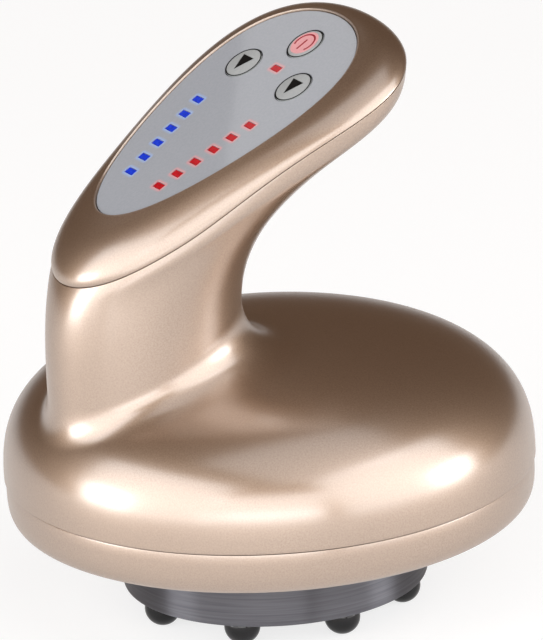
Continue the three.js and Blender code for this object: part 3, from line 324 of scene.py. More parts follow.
def loft(
    name: str, rings: np.ndarray, closed: bool = False, capped: bool = False, edge_round: float = 0.0
) -> Piece:
    """Make a skin over rings of points.

    Args:
        name: The object's name.
        rings: Points in millimetres, by ring and by place on the ring.
        closed: Whether the last ring joins the first.
        capped: Whether the end rings are filled.
        edge_round: Width in millimetres by which sharp edges are rounded.

    Returns:
        The object.
    """
    rings = np.asarray(rings, float)
    total, count = rings.shape[:2]
    faces = ring_faces(total, count, closed)
    if capped:
        faces.append(tuple(range(count)))
        faces.append(tuple((total - 1) * count + j for j in range(count)))
    return smooth_object(name, rings.reshape(-1, 3), faces, edge_round)


def lathe(
    name: str,
    profile: Outline,
    place: tuple[float, float, float] = (0.0, 0.0, 0.0),
    count: int = AROUND,
    edge_round: float = 0.0,
) -> Piece:
    """Turn a profile round the vertical axis.

    Args:
        name: The object's name.
        profile: Radius and height of each corner, in millimetres. Where its ends aren't both on
            the axis, the last corner joins the first.
        place: Where the axis foot goes, in millimetres.
        count: The number of facets.
        edge_round: Width in millimetres by which sharp edges are rounded.

    Returns:
        The object.
    """
    angles = turns(count)
    open_profile = profile[0][0] == 0 and profile[-1][0] == 0
    rows = profile[1:-1] if open_profile else profile
    rings = np.array(
        [[(r * math.cos(a), r * math.sin(a), z) for a in angles] for r, z in rows]
    ) + np.array(place)
    points = rings.reshape(-1, 3)
    faces = ring_faces(len(rows), count, not open_profile)
    if open_profile:
        ends = np.array([(0, 0, profile[0][1]), (0, 0, profile[-1][1])]) + np.array(place)
        first, second = len(points), len(points) + 1
        points = np.vstack([points, ends])
        start = (len(rows) - 1) * count
        faces += [(first, (j + 1) % count, j) for j in range(count)]
        faces += [(second, start + j, start + (j + 1) % count) for j in range(count)]
    return smooth_object(name, points, faces, edge_round)


def stadium(half_width: float, half_height: float) -> Outline:
    """Give the outline of a box with round ends.

    Args:
        half_width: Half of its width.
        half_height: Half of its height, which is its end radius.

    Returns:
        The points, as across and up.
    """
    straight = half_width - half_height
    points = []
    for i in range(SMALL_AROUND):
        angle = 2 * math.pi * (i + 0.5) / SMALL_AROUND
        side = math.copysign(straight, math.cos(angle))
        points.append((side + half_height * math.cos(angle), half_height * math.sin(angle)))
    return points


def rounded_rectangle(
    half_length: float, half_width: float, corner: float, steps: int = 4
) -> Outline:
    """Give the outline of a rectangle with rounded corners, turning anticlockwise.

    Args:
        half_length: Half of its size along the first direction.
        half_width: Half of its size along the second.
        corner: The corner radius.
        steps: Segments in each corner.

    Returns:
        The points.
    """
    points = []
    for quarter in range(4):
        middle = math.pi / 4 + quarter * math.pi / 2
        x = math.copysign(half_length - corner, math.cos(middle))
        y = math.copysign(half_width - corner, math.sin(middle))
        for i in range(steps + 1):
            angle = quarter * math.pi / 2 + (math.pi / 2) * i / steps
            points.append((x + corner * math.cos(angle), y + corner * math.sin(angle)))
    return points


def circle(radius: float, count: int = 64) -> Outline:
    """Give the points of a circle round zero."""
    steps = [2 * math.pi * i / count for i in range(count)]
    return [(radius * math.cos(a), radius * math.sin(a)) for a in steps]


def moved(outline: Outline, across: float, up: float) -> Outline:
    """Move an outline within its plane."""
    return [(across + a, up + b) for a, b in outline]


def plate_with_holes(
    name: str, outlines: list[Outline], bottom: float, top: float, edge_round: float = 0.0
) -> Piece:
    """Make a flat plate from an outer outline and the outlines of its holes.

    Args:
        name: The object's name.
        outlines: Outlines in millimetres, the outer one first.
        bottom: Height of the underside.
        top: Height of the upper side.
        edge_round: Radius of the edges, in millimetres.

    Returns:
        The object, lying level.
    """
    curve = bpy.data.curves.new(name, "CURVE")
    curve.dimensions = "2D"
    curve.fill_mode = "BOTH"
    curve.extrude = ((top - bottom) / 2 - edge_round) * MM
    curve.bevel_depth = edge_round * MM
    curve.bevel_resolution = 1
    curve.offset = -edge_round * MM
    for outline in outlines:
        spline = curve.splines.new("POLY")
        spline.points.add(len(outline) - 1)
        for point, (x, y) in zip(spline.points, outline):
            point.co = (x * MM, y * MM, 0, 1)
        spline.use_cyclic_u = True
    shape = linked(name + "_outline", curve)
    graph = bpy.context.evaluated_depsgraph_get()
    mesh = bpy.data.meshes.new_from_object(shape.evaluated_get(graph))
    bpy.data.objects.remove(shape)
    bpy.data.curves.remove(curve)
    mesh.name = name
    mesh.materials.clear()
    mesh.transform(Matrix.Translation((0, 0, (top + bottom) / 2 * MM)))
    piece = linked(name, mesh)
    weld(mesh)
    shade(piece, PLATE_SHARP_DEGREES)
    for polygon in piece.data.polygons:
        polygon.use_smooth = abs(polygon.normal.z) < LEVEL
    return piece


def merged(name: str, pieces: list[Piece]) -> Piece:
    """Join mesh objects into the first of them.

    Args:
        name: The name of the result.
        pieces: The objects, each at the origin.

    Returns:
        The joined object.
    """
    tool = bmesh.new()
    for piece in pieces:
        tool.from_mesh(piece.data)
    tool.to_mesh(pieces[0].data)
    tool.free()
    for piece in pieces[1:]:
        bpy.data.objects.remove(piece)
    pieces[0].name = name
    pieces[0].data.name = name
    shade(pieces[0])
    return pieces[0]


def carved(piece: Piece, tools: list[Piece]) -> Piece:
    """Cut tool bodies out of a piece and drop the tools.

    Args:
        piece: The closed body that is cut.
        tools: Closed bodies to take away.

    Returns:
        The piece.
    """
    for body in tools:
        modifier = piece.modifiers.new("carve", "BOOLEAN")
        modifier.operation = "DIFFERENCE"
        modifier.solver = "EXACT"
        modifier.object = body
    apply_modifiers(piece)
    for body in tools:
        bpy.data.objects.remove(body)
    shade(piece)
    return piece


def ring_normals(rings: np.ndarray) -> np.ndarray:
    """Give outward normals at the points of a skin.

    Args:
        rings: Points by ring and by place, turning so that the outside is on the right.

    Returns:
        Unit normals in the same layout.
    """
    around = np.roll(rings, -1, axis=1) - np.roll(rings, 1, axis=1)
    along = np.gradient(rings, axis=0)
    normals = np.cross(along, around)
    normals /= np.linalg.norm(normals, axis=2, keepdims=True)
    middle = rings.mean(axis=(0, 1))
    outward = ((rings - middle) * normals).sum(axis=2).mean()
    return normals if outward > 0 else -normals


def mouth_normals(ring: np.ndarray, axis: np.ndarray) -> np.ndarray:
    """Give outward normals of a ring that lie level in the plane across an axis.

    Args:
        ring: The points of the ring.
        axis: The unit vector across its plane.

    Returns:
        Unit normals at the points.
    """
    along = np.roll(ring, -1, axis=0) - np.roll(ring, 1, axis=0)
    flat = np.cross(along, axis)
    flat /= np.linalg.norm(flat, axis=1, keepdims=True)
    outward = ((ring - ring.mean(axis=0)) * flat).sum()
    return flat if outward > 0 else -flat


# Finishes


@dataclass(frozen=True)
class Finish:
    """A finish of one shader, whose inputs each kind of finish gives."""

    name: str

    def looks(self, tree: Tree, place: Socket) -> Inputs:
        """Give what the shader shows.

        Args:
            tree: The material's node tree.
            place: Where a point lies on the object.

        Returns:
            The shader's inputs.
        """
        raise NotImplementedError

    def material(self) -> Material:
        """Build the material."""
        made = new_material(self.name)
        tree = made.node_tree
        place = add_node(tree, "TexCoord").outputs["Object"]
        shader = add_node(tree, "BsdfPrincipled", self.looks(tree, place))
        add_node(tree, "OutputMaterial", {"Surface": shader})
        return made


@dataclass(frozen=True)
class PearlLacquer(Finish):
    """Champagne pearl lacquer sprayed over moulded ABS.

    Bronze flakes give a satin metal that is brown where the room is dark. The pearl layer over
    them is mica coated with titanium dioxide: its high refraction throws a soft white sheen
    wherever the surface meets the light.
    """

    name: str = "champagne_pearl_lacquer"
    deep: str = "#a28872"
    light: str = "#b0967f"
    flake_size: float = 0.35
    peel_size: float = 2.4
    peel_depth: float = 0.05
    peel_strength: float = 0.05
    rough: Pair = (0.44, 0.52)
    pearl_index: float = 2.6
    pearl_rough: float = 0.24

    def looks(self, tree: Tree, place: Socket) -> Inputs:
        """Show flakes in the colour, and a pearl layer with orange peel over them.

        Args:
            tree: The material's node tree.
            place: Where a point lies on the object.

        Returns:
            The shader's inputs.
        """
        flakes = add_node(tree, "TexNoise", grained(place, self.flake_size, Detail=2.0))
        peel = add_node(tree, "TexNoise", grained(place, self.peel_size, Detail=1.0))
        relief = {"Height": peel, "Strength": self.peel_strength, "Distance": self.peel_depth * MM}
        return {
            **toned(tree, flakes, ((0.3, self.deep), (0.7, self.light)), self.rough),
            "Metallic": 1.0,
            "Coat Weight": 1.0,
            "Coat IOR": self.pearl_index,
            "Coat Roughness": self.pearl_rough,
            "Coat Normal": add_node(tree, "Bump", relief),
        }


@dataclass(frozen=True)
class BlackChrome(Finish):
    """Black chrome plated over a turned ring: a dark mirror whose fine turning lines draw every
    reflection out into upright bands."""

    name: str = "black_chrome_plate"
    dark: str = "#6a6a70"
    tone: str = "#7e7e84"
    line_size: float = 0.4
    stretch: tuple[float, float, float] = (0.02, 0.02, 1.0)
    rough: Pair = (0.43, 0.49)
    quarter_turn: float = 0.25

    def looks(self, tree: Tree, place: Socket) -> Inputs:
        """Show turning lines that run round the upright axis.

        Args:
            tree: The material's node tree.
            place: Where a point lies on the object.

        Returns:
            The shader's inputs.
        """
        drawn = add_node(tree, "Mapping", {"Vector": place, "Scale": self.stretch})
        lines = add_node(tree, "TexNoise", grained(drawn, self.line_size, Detail=3.0))
        return {
            **toned(tree, lines, ((0.3, self.dark), (0.7, self.tone)), self.rough),
            "Metallic": 1.0,
            "Anisotropic": 1.0,
            "Anisotropic Rotation": self.quarter_turn,
            "Tangent": add_node(tree, "Tangent", direction_type="RADIAL", axis="Z"),
        }


@dataclass(frozen=True)
class MouldedPlastic(Finish):
    """Injection-moulded ABS: an even colour with a fine spark-eroded grain in the gloss."""

    tone: str
    shadow: str
    grain_size: float = 0.5
    grain_depth: float = 0.02
    grain_strength: float = 0.35
    cloud_size: float = 15.0
    rough: Pair = (0.42, 0.56)
    index: float = 1.54

    def looks(self, tree: Tree, place: Socket) -> Inputs:
        """Show slow clouds in the colour, and the grain in the gloss and the relief.

        Args:
            tree: The material's node tree.
            place: Where a point lies on the object.

        Returns:
            The shader's inputs.
        """
        grain = add_node(tree, "TexNoise", grained(place, self.grain_size, Detail=3.0))
        cloud = add_node(tree, "TexNoise", grained(place, self.cloud_size, Detail=2.0))
        stops = ((0.3, self.shadow), (0.7, self.tone))
        spread = {"Value": grain, "To Min": self.rough[0], "To Max": self.rough[1]}
        relief = {"Height": grain, "Strength": self.grain_strength, "Distance": self.grain_depth * MM}
        return {
            "Base Color": add_node(tree, "ValToRGB", {"Fac": cloud}, stops),
            "Roughness": add_node(tree, "MapRange", spread),
            "IOR": self.index,
            "Normal": add_node(tree, "Bump", relief),
        }


@dataclass(frozen=True)
class PolishedGlaze(Finish):
    """Hard glossy black, as on polished obsidian glass beads: deep black under a wet gloss."""

    name: str = "polished_black_glass"
    tone: str = "#0a0a0c"
    cloud: str = "#17171b"
    swirl_size: float = 3.0
    rough: Pair = (0.05, 0.12)
    index: float = 1.5

    def looks(self, tree: Tree, place: Socket) -> Inputs:
        """Show faint swirls in the glass.

        Args:
            tree: The material's node tree.
            place: Where a point lies on the object.

        Returns:
            The shader's inputs.
        """
        swirl = add_node(tree, "TexNoise", grained(place, self.swirl_size, Detail=4.0))
        stops = ((0.4, self.tone), (0.75, self.cloud))
        return {**toned(tree, swirl, stops, self.rough), "IOR": self.index}


@dataclass(frozen=True)
class PrintedAcrylic(Finish):
    """Polished acrylic sheet, back-printed in grey: a flat colour seen through a clear gloss.

    Round each light, the light's spill is painted into the print's colour as a painted glow
    that no lamp casts; the mesh carries how much in an attribute named glow.
    """

    tone: str = "#a3a7af"
    print_low: str = "#9fa4ab"
    # The colour of the painted glow: the light's spill painted into the print.
    glow: str = "#a3a7af"
    screen_size: float = 0.6
    rough: float = 0.03
    rough_spread: float = 0.01
    index: float = 1.49

    def looks(self, tree: Tree, place: Socket) -> Inputs:
        """Show the print's screen, and the lights' painted glow where the mesh has it.

        Args:
            tree: The material's node tree.
            place: Where a point lies on the object.

        Returns:
            The shader's inputs.
        """
        screen = add_node(tree, "TexNoise", grained(place, self.screen_size, Detail=2.0))
        stops = ((0.35, self.print_low), (0.65, self.tone))
        rough = (self.rough - self.rough_spread, self.rough + self.rough_spread)
        plain = toned(tree, screen, stops, rough)
        # Painted glow: the print's colour is mixed towards the light's colour by the mesh's share.
        painted_spill = add_node(tree, "Attribute", attribute_name="glow").outputs["Fac"]
        inks = {"Factor": painted_spill, 6: plain["Base Color"], 7: linear(self.glow)}
        mixed = add_node(tree, "Mix", inks, data_type="RGBA")
        return {**plain, "Base Color": mixed.outputs[2], "IOR": self.index}


@dataclass(frozen=True)
class LitPolycarbonate(Finish):
    """Tinted polycarbonate light pipe over a lit diode: saturated colour that glows from within."""

    tone: str
    core: str
    ripple_size: float = 0.9
    strength: float = 0.55
    rough: Pair = (0.06, 0.12)
    index: float = 1.58
    mirror: float = 0.25

    def looks(self, tree: Tree, place: Socket) -> Inputs:
        """Show the pipe's own colour, with a quiet gloss over its light.

        Args:
            tree: The material's node tree.
            place: Where a point lies on the object.

        Returns:
            The shader's inputs.
        """
        ripple = add_node(tree, "TexNoise", grained(place, self.ripple_size, Detail=2.0))
        plain = toned(tree, ripple, ((0.3, self.tone), (0.75, self.core)), self.rough)
        return {
            **plain,
            "IOR": self.index,
            "Specular IOR Level": self.mirror,
            "Emission Color": plain["Base Color"],
            "Emission Strength": self.strength,
        }


@dataclass(frozen=True)
class ScreenInk(Finish):
    """Matt screen-printed ink: a flat, deep colour with hardly any sheen."""

    tone: str
    edge: str
    mesh_size: float = 0.3
    rough: Pair = (0.4, 0.55)
    index: float = 1.5
    mirror: float = 0.15

    def looks(self, tree: Tree, place: Socket) -> Inputs:
        """Show the marks of the printing mesh.

        Args:
            tree: The material's node tree.
            place: Where a point lies on the object.

        Returns:
            The shader's inputs.
        """
        marks = add_node(tree, "TexNoise", grained(place, self.mesh_size, Detail=2.0))
        stops = ((0.3, self.edge), (0.6, self.tone))
        gloss = {"IOR": self.index, "Specular IOR Level": self.mirror}
        return {**toned(tree, marks, stops, self.rough), **gloss}


@dataclass(frozen=True)
class WorkedMetal(Finish):
    """Steel or copper with the marks of its making: fine lines that stretch the highlight."""

    tone: str
    shadow: str
    line_size: float = 0.25
    line_depth: float = 0.01
    line_strength: float = 0.2
    stretch: tuple[float, float, float] = (1.0, 1.0, 14.0)
    rough: Pair = (0.22, 0.38)

    def looks(self, tree: Tree, place: Socket) -> Inputs:
        """Show lines that run across the long way of the stretch.

        Args:
            tree: The material's node tree.
            place: Where a point lies on the object.

        Returns:
            The shader's inputs.
        """
        drawn = add_node(tree, "Mapping", {"Vector": place, "Scale": self.stretch})
        size = self.line_size * max(self.stretch)
        lines = add_node(tree, "TexNoise", grained(drawn, size, Detail=3.0))
        relief = {"Height": lines, "Strength": self.line_strength, "Distance": self.line_depth * MM}
        return {
            **toned(tree, lines, ((0.3, self.shadow), (0.7, self.tone)), self.rough),
            "Metallic": 1.0,
            "Normal": add_node(tree, "Bump", relief),
        }


@dataclass(frozen=True)
class SolderMask(Finish):
    """Glass-fibre board under green solder mask, with lighter copper tracks beneath it."""

    name: str = "solder_mask_board"
    mask: str = "#14532f"
    track: str = "#2f7d4b"
    pitch: float = 2.54
    wander: float = 0.35
    track_depth: float = 0.03
    track_strength: float = 0.2
    rough: float = 0.35
    index: float = 1.52

    def looks(self, tree: Tree, place: Socket) -> Inputs:
        """Show square tracks that stand up a little under the mask.

        Args:
            tree: The material's node tree.
            place: Where a point lies on the object.

        Returns:
            The shader's inputs.
        """
        lattice = grained(place, self.pitch, Randomness=self.wander)
        tracks = add_node(
            tree, "TexVoronoi", lattice, distance="MANHATTAN", feature="DISTANCE_TO_EDGE"
        )
        stops = ((0.08, self.track), (0.12, self.mask))
        relief = {"Height": tracks, "Strength": self.track_strength, "Distance": self.track_depth * MM}
        return {
            "Base Color": add_node(tree, "ValToRGB", {"Fac": tracks}, stops),
            "Roughness": self.rough,
            "IOR": self.index,
            "Normal": add_node(tree, "Bump", relief),
        }


@dataclass(frozen=True)
class MouldedSilicone(Finish):
    """Moulded silicone rubber: milky, soft in gloss, with light passing a little way in."""

    name: str = "moulded_silicone"
    tone: str = "#e6e3da"
    shadow: str = "#d8d4c9"
    cloud_size: float = 4.0
    rough: Pair = (0.45, 0.6)
    index: float = 1.41
    milkiness: float = 0.15
    light_depth: float = 1.5

    def looks(self, tree: Tree, place: Socket) -> Inputs:
        """Show faint clouds, and light that spreads under the skin.

        Args:
            tree: The material's node tree.
            place: Where a point lies on the object.

        Returns:
            The shader's inputs.
        """
        cloud = add_node(tree, "TexNoise", grained(place, self.cloud_size, Detail=3.0))
        return {
            **toned(tree, cloud, ((0.3, self.shadow), (0.7, self.tone)), self.rough),
            "IOR": self.index,
            "Subsurface Weight": self.milkiness,
            "Subsurface Scale": self.light_depth * MM,
        }


@dataclass(frozen=True)
class CellularFoam(Finish):
    """Closed-cell EVA foam: matt black with small open pores in its cut faces."""

    name: str = "black_eva_foam"
    tone: str = "#2b2b2e"
    # Painted shade: the colour inside the pores, darker than the foam.
    painted_pore_shade: str = "#141416"
    painted_pore_shade_size: float = 0.6
    painted_pore_shade_depth: float = 0.1
    painted_pore_shade_strength: float = 0.6
    rough: float = 0.9
    index: float = 1.48

    def looks(self, tree: Tree, place: Socket) -> Inputs:
        """Show pores that are sunk in, darkened with painted shade.

        Args:
            tree: The material's node tree.
            place: Where a point lies on the object.

        Returns:
            The shader's inputs.
        """
        pores = add_node(tree, "TexVoronoi", grained(place, self.painted_pore_shade_size))
        # The pores are painted darker, as painted shade in the hollows.
        stops = ((0.15, self.painted_pore_shade), (0.5, self.tone))
        relief = {"Height": pores, "Strength": self.painted_pore_shade_strength, "Distance": self.painted_pore_shade_depth * MM}
        return {
            "Base Color": add_node(tree, "ValToRGB", {"Fac": pores}, stops),
            "Roughness": self.rough,
            "IOR": self.index,
            "Normal": add_node(tree, "Bump", relief),
        }


@dataclass
class FinishSet:
    """Every finish of the object, made once, by material slot or by use."""

    by_slot: dict[Slot, Material] = field(init=False)
    black_ink: Material = field(init=False)
    red_ink: Material = field(init=False)
    pink_ink: Material = field(init=False)
    painted_blue_glow: Material = field(init=False)
    painted_red_glow: Material = field(init=False)

    def __post_init__(self) -> None:
        """Build all the materials."""
        self.black_ink = ScreenInk("black_ink", "#020202", "#050505").material()
        self.red_ink = ScreenInk("dark_red_ink", "#8e1f2b", "#a33440").material()
        self.pink_ink = ScreenInk("pink_ink", "#e2a5a8", "#d99a9e").material()
        # Panel print with the lights' blue and red spill painted in round the windows: painted glow.
        self.painted_blue_glow = PrintedAcrylic("panel_print_blue_glow", glow="#9db4de").material()
        self.painted_red_glow = PrintedAcrylic("panel_print_red_glow", glow="#d8a0a4").material()
        brushed, wound = (14.0, 1.0, 1.0), (1.0, 12.0, 12.0)
        finishes: dict[Slot, Finish] = {
            Slot.CHAMPAGNE_PAINT: PearlLacquer(),
            Slot.DARK_CHROME: BlackChrome(),
            Slot.BLACK_BEAD: PolishedGlaze(),
            Slot.PANEL_GREY: PrintedAcrylic("panel_print"),
            Slot.KEY_GREY: PrintedAcrylic("key_print", "#a7abac", "#a2a6a8", rough=0.2),
            Slot.BLUE_LIGHT: LitPolycarbonate("blue_light_pipe", "#0c289c", "#1434b4"),
            Slot.RED_LIGHT: LitPolycarbonate("red_light_pipe", "#8c0812", "#a0101a"),
            Slot.BLACK_PLASTIC: MouldedPlastic("black_abs", "#1c1c1e", "#161618"),
            Slot.WHITE_PLASTIC: MouldedPlastic("white_abs", "#dcdad3", "#d2d0c8"),
            Slot.BOARD_GREEN: SolderMask(),
            Slot.PLAIN_STEEL: WorkedMetal("drawn_steel", "#c2c4c7", "#a6a8ac"),
            Slot.WARM_PLATE: WorkedMetal(
                "brushed_stainless", "#cbc8c2", "#aeaba5", stretch=brushed
            ),
            Slot.CELL_BLUE: MouldedPlastic(
                "shrink_wrapped_pvc", "#3d70b8", "#3465aa", rough=(0.22, 0.32)
            ),
            Slot.COPPER_WOUND: WorkedMetal(
                "enamelled_copper_winding", "#c07a42", "#8f532a", line_size=0.4, stretch=wound
            ),
            Slot.SILICONE: MouldedSilicone(),
            Slot.BLACK_FOAM: CellularFoam(),
        }
        self.by_slot = {slot: finish.material() for slot, finish in finishes.items()}


@dataclass
class Fitter:
    """Puts finished pieces on their bodies and keeps count of them."""

    finishes: FinishSet
    replaced: set[str] = field(default_factory=set)
    made: int = 0

    def fit(
        self,
        piece: Piece,
        body: Body,
        slot: Slot,
        nodes: tuple[str, ...] = (),
        material: Material | None = None,
    ) -> None:
        """Dress a piece, set it on its body and name the nodes that it stands for.

        Args:
            piece: The mesh object.
            body: The body that it rides on.
            slot: The record's slot that its finish belongs to.
            nodes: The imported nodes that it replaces.
            material: Its material, where that isn't the slot's own.
        """
        if not piece.data.materials:
            piece.data.materials.append(material or self.finishes.by_slot[slot])
        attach(piece, body.value)
        if nodes:
            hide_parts(*nodes)
            self.replaced.update(nodes)
        self.made += 1
        LOG.info("%s rides on %s", piece.name, body.value)


# Shared forms


@dataclass(frozen=True)
class HandlePlane:
    """The tilted plane of the control panel: along to the head, across, and out of its face."""

    tilt_degrees: float = 27.9
    reach: float = 15.0
    rise: float = 130.4

    @property
    def tilt(self) -> float:
        """The tilt in radians."""
        return math.radians(self.tilt_degrees)

    @property
    def normal(self) -> np.ndarray:
        """The unit vector out of the panel's face."""
        return np.array([-math.sin(self.tilt), 0.0, math.cos(self.tilt)])

    def place(self, local: np.ndarray) -> np.ndarray:
        """Take points from the panel's own frame to the object's.

        Args:
            local: Points as along, across and out, in millimetres.

        Returns:
            The same points in the object's frame.
        """
        local = np.asarray(local, float)
        c, s = math.cos(self.tilt), math.sin(self.tilt)
        x = self.reach + local[..., 0] * c - local[..., 2] * s
        z = self.rise + local[..., 0] * s + local[..., 2] * c
        return np.stack([x, local[..., 1], z], axis=-1)

    def local(self, points: np.ndarray) -> np.ndarray:
        """Take points from the object's frame to the panel's own.

        Args:
            points: Points in millimetres.

        Returns:
            The same points as along, across and out.
        """
        c, s = math.cos(self.tilt), math.sin(self.tilt)
        x, z = points[..., 0] - self.reach, points[..., 2] - self.rise
        return np.stack([x * c + z * s, points[..., 1], z * c - x * s], axis=-1)

    def settle(self, piece: Piece, along: float = 0.0, across: float = 0.0) -> None:
        """Move a piece that was built level onto the plane.

        Args:
            piece: The object, built round the plane's origin.
            along: Its place along the panel, in millimetres.
            across: Its place across the panel, in millimetres.
        """
        shift = Matrix.Translation((along * MM, across * MM, 0))
        turn = Matrix.Rotation(-self.tilt, 4, "Y")
        lift = Matrix.Translation((self.reach * MM, 0, self.rise * MM))
        piece.data.transform(lift @ turn @ shift)
        piece.data.update()


def egg_half_width(angles: np.ndarray, half_width: float, shares: Pair) -> np.ndarray:
    """Give the half width of an egg outline.

    Args:
        angles: Angles round the outline, zero at the head.
        half_width: Half of the width halfway along.
        shares: How much the head end is fuller, in the first and second power of the cosine.

    Returns:
        The side reach at each angle.
    """
    along = np.cos(angles)
    return half_width * np.sin(angles) * (1 + shares[0] * along + shares[1] * along**2)


@dataclass(frozen=True)
class PanelForm:
    """Outline of the control panel and of the cover that frames it, in millimetres."""

    head: float = 10.0
    tail: float = 61.5
    half_width: float = 21.9
    egg: Pair = (0.31, 0.15)
    thickness: float = 1.5
    gap: float = 0.3
    land: float = 0.4
    floor: float = 1.4
    cover_head: float = 7.1
    cover_tail: float = 17.0
    cover_half_width: float = 28.0
    cover_egg: Pair = (0.43, 0.42)
    drop_head: float = 6.6
    drop_tail: float = 7.4
    rim: float = 0.4
    rim_slope: float = 0.16
    rim_fade: int = 8
    crown_steps: int = 28
    bow: float = 2.0
    bow_place: float = 0.15
    bow_spread: float = 0.7
    fullness: float = 1.65
    wall: float = 2.0
    seam: float = 0.2

    @property
    def floor_depth(self) -> float:
        """Depth of the underside of the cover's floor."""
        return self.thickness + self.gap + self.floor

    def outline(self, inset: float) -> np.ndarray:
        """Give the panel's outline, drawn in by an inset.

        Args:
            inset: How far it is drawn in; a negative value lets it out.

        Returns:
            Points as along and across.
        """
        angles = turns()
        middle = (self.head - self.tail) / 2
        reach = (self.head + self.tail) / 2 - inset
        side = egg_half_width(angles, self.half_width - inset, self.egg)
        return np.stack([middle + reach * np.cos(angles), side], axis=-1)

    def bow_at(self, share: np.ndarray) -> np.ndarray:
        """Give how far the parting line bows up to the panel, by the share of its length."""
        away = np.minimum(np.abs(2 * share - 1 - self.bow_place) / self.bow_spread, 1.0)
        return self.bow * (1 - away**2) ** 2

    def parting_depth(self, along: np.ndarray) -> np.ndarray:
        """Give how far out the parting line lies, by the place along the panel."""
        head, tail = self.head + self.cover_head, -self.tail - self.cover_tail
        share = (along - tail) / (head - tail)
        return self.bow_at(share) - (self.drop_tail + (self.drop_head - self.drop_tail) * share)

    def parting(self) -> np.ndarray:
        """Give the parting line between cover and housing.

        Returns:
            Points as along, across and out.
        """
        angles = turns()
        share = (1 + np.cos(angles)) / 2
        head, tail = self.head + self.cover_head, -self.tail - self.cover_tail
        along = tail + (head - tail) * share
        across = egg_half_width(angles, self.cover_half_width, self.cover_egg)
        return np.stack([along, across, self.parting_depth(along)], axis=-1)

    def crown(self) -> np.ndarray:
        """Give the rings of the cover's rounded top, from the panel's edge to the parting line.

        It starts as a fine raised rim round the panel.

        Returns:
            Rings of points as along, across and out.
        """
        parting = self.parting()
        edge = self.outline(-self.gap - self.land)
        rings = []
        for share in np.linspace(0, 1, self.crown_steps + 1):
            turn = (math.pi / 2) * share
            outward = math.sin(turn) ** (2 / self.fullness)
            drop = 1 - max(math.cos(turn), 0.0) ** (2 / self.fullness)
            flat = edge + (parting[:, :2] - edge) * outward
            low = drop * (parting[:, 2:] + self.seam / 2) + self.rim * (1 - share) ** self.rim_fade
            rings.append(np.hstack([flat, low]))
        return np.array(rings)


@dataclass(frozen=True)
class DomeForm:
    """The housing's dome, in millimetres: a superelliptic cap over the seam."""

    radius: float = 61.0
    rise: float = 30.8
    fullness: float = 2.74
    seam_height: float = 33.0
    seam: float = 0.3
    wall: float = 2.2
    post_x: float = 39.3
    post_y: float = 27.3

    def height(self, radius: np.ndarray) -> np.ndarray:
        """Give the dome's height over the seam.

        Args:
            radius: Distances from the axis.

        Returns:
            Heights over the seam.
        """
        share = np.minimum(np.asarray(radius) / self.radius, 1)
        return self.rise * (1 - share**self.fullness) ** (1 / self.fullness)

    def post_places(self) -> Outline:
        """Give where the four screw posts stand, in the order of the screws' nodes."""
        corners = ((1, 1), (-1, 1), (-1, -1), (1, -1))
        return [(a * self.post_x, b * self.post_y) for a, b in corners]


def spline_columns(rows: np.ndarray, places: np.ndarray) -> np.ndarray:
    """Run a smooth curve through the rows of a table.

    Args:
        rows: The values that the curve passes through, evenly spaced.
        places: Places from 0 to 1 along it.

    Returns:
        One row for each place.
    """
    last = len(rows) - 1
    result = []
    for place in places:
        step = place * last
        i = min(int(step), last)
        t = step - i
        p0, p1 = rows[max(i - 1, 0)], rows[i]
        p2, p3 = rows[min(i + 1, last)], rows[min(i + 2, last)]
        v0, v1 = (p2 - p0) / 2, (p3 - p1) / 2
        result.append(
            (2 * p1 - 2 * p2 + v0 + v1) * t**3 + (-3 * p1 + 3 * p2 - 2 * v0 - v1) * t**2 + v0 * t + p1
        )
    return np.array(result)


# Sub-assemblies


@dataclass
class Assembly:
    """A sub-assembly, which sets its pieces on their bodies."""

    fitter: Fitter


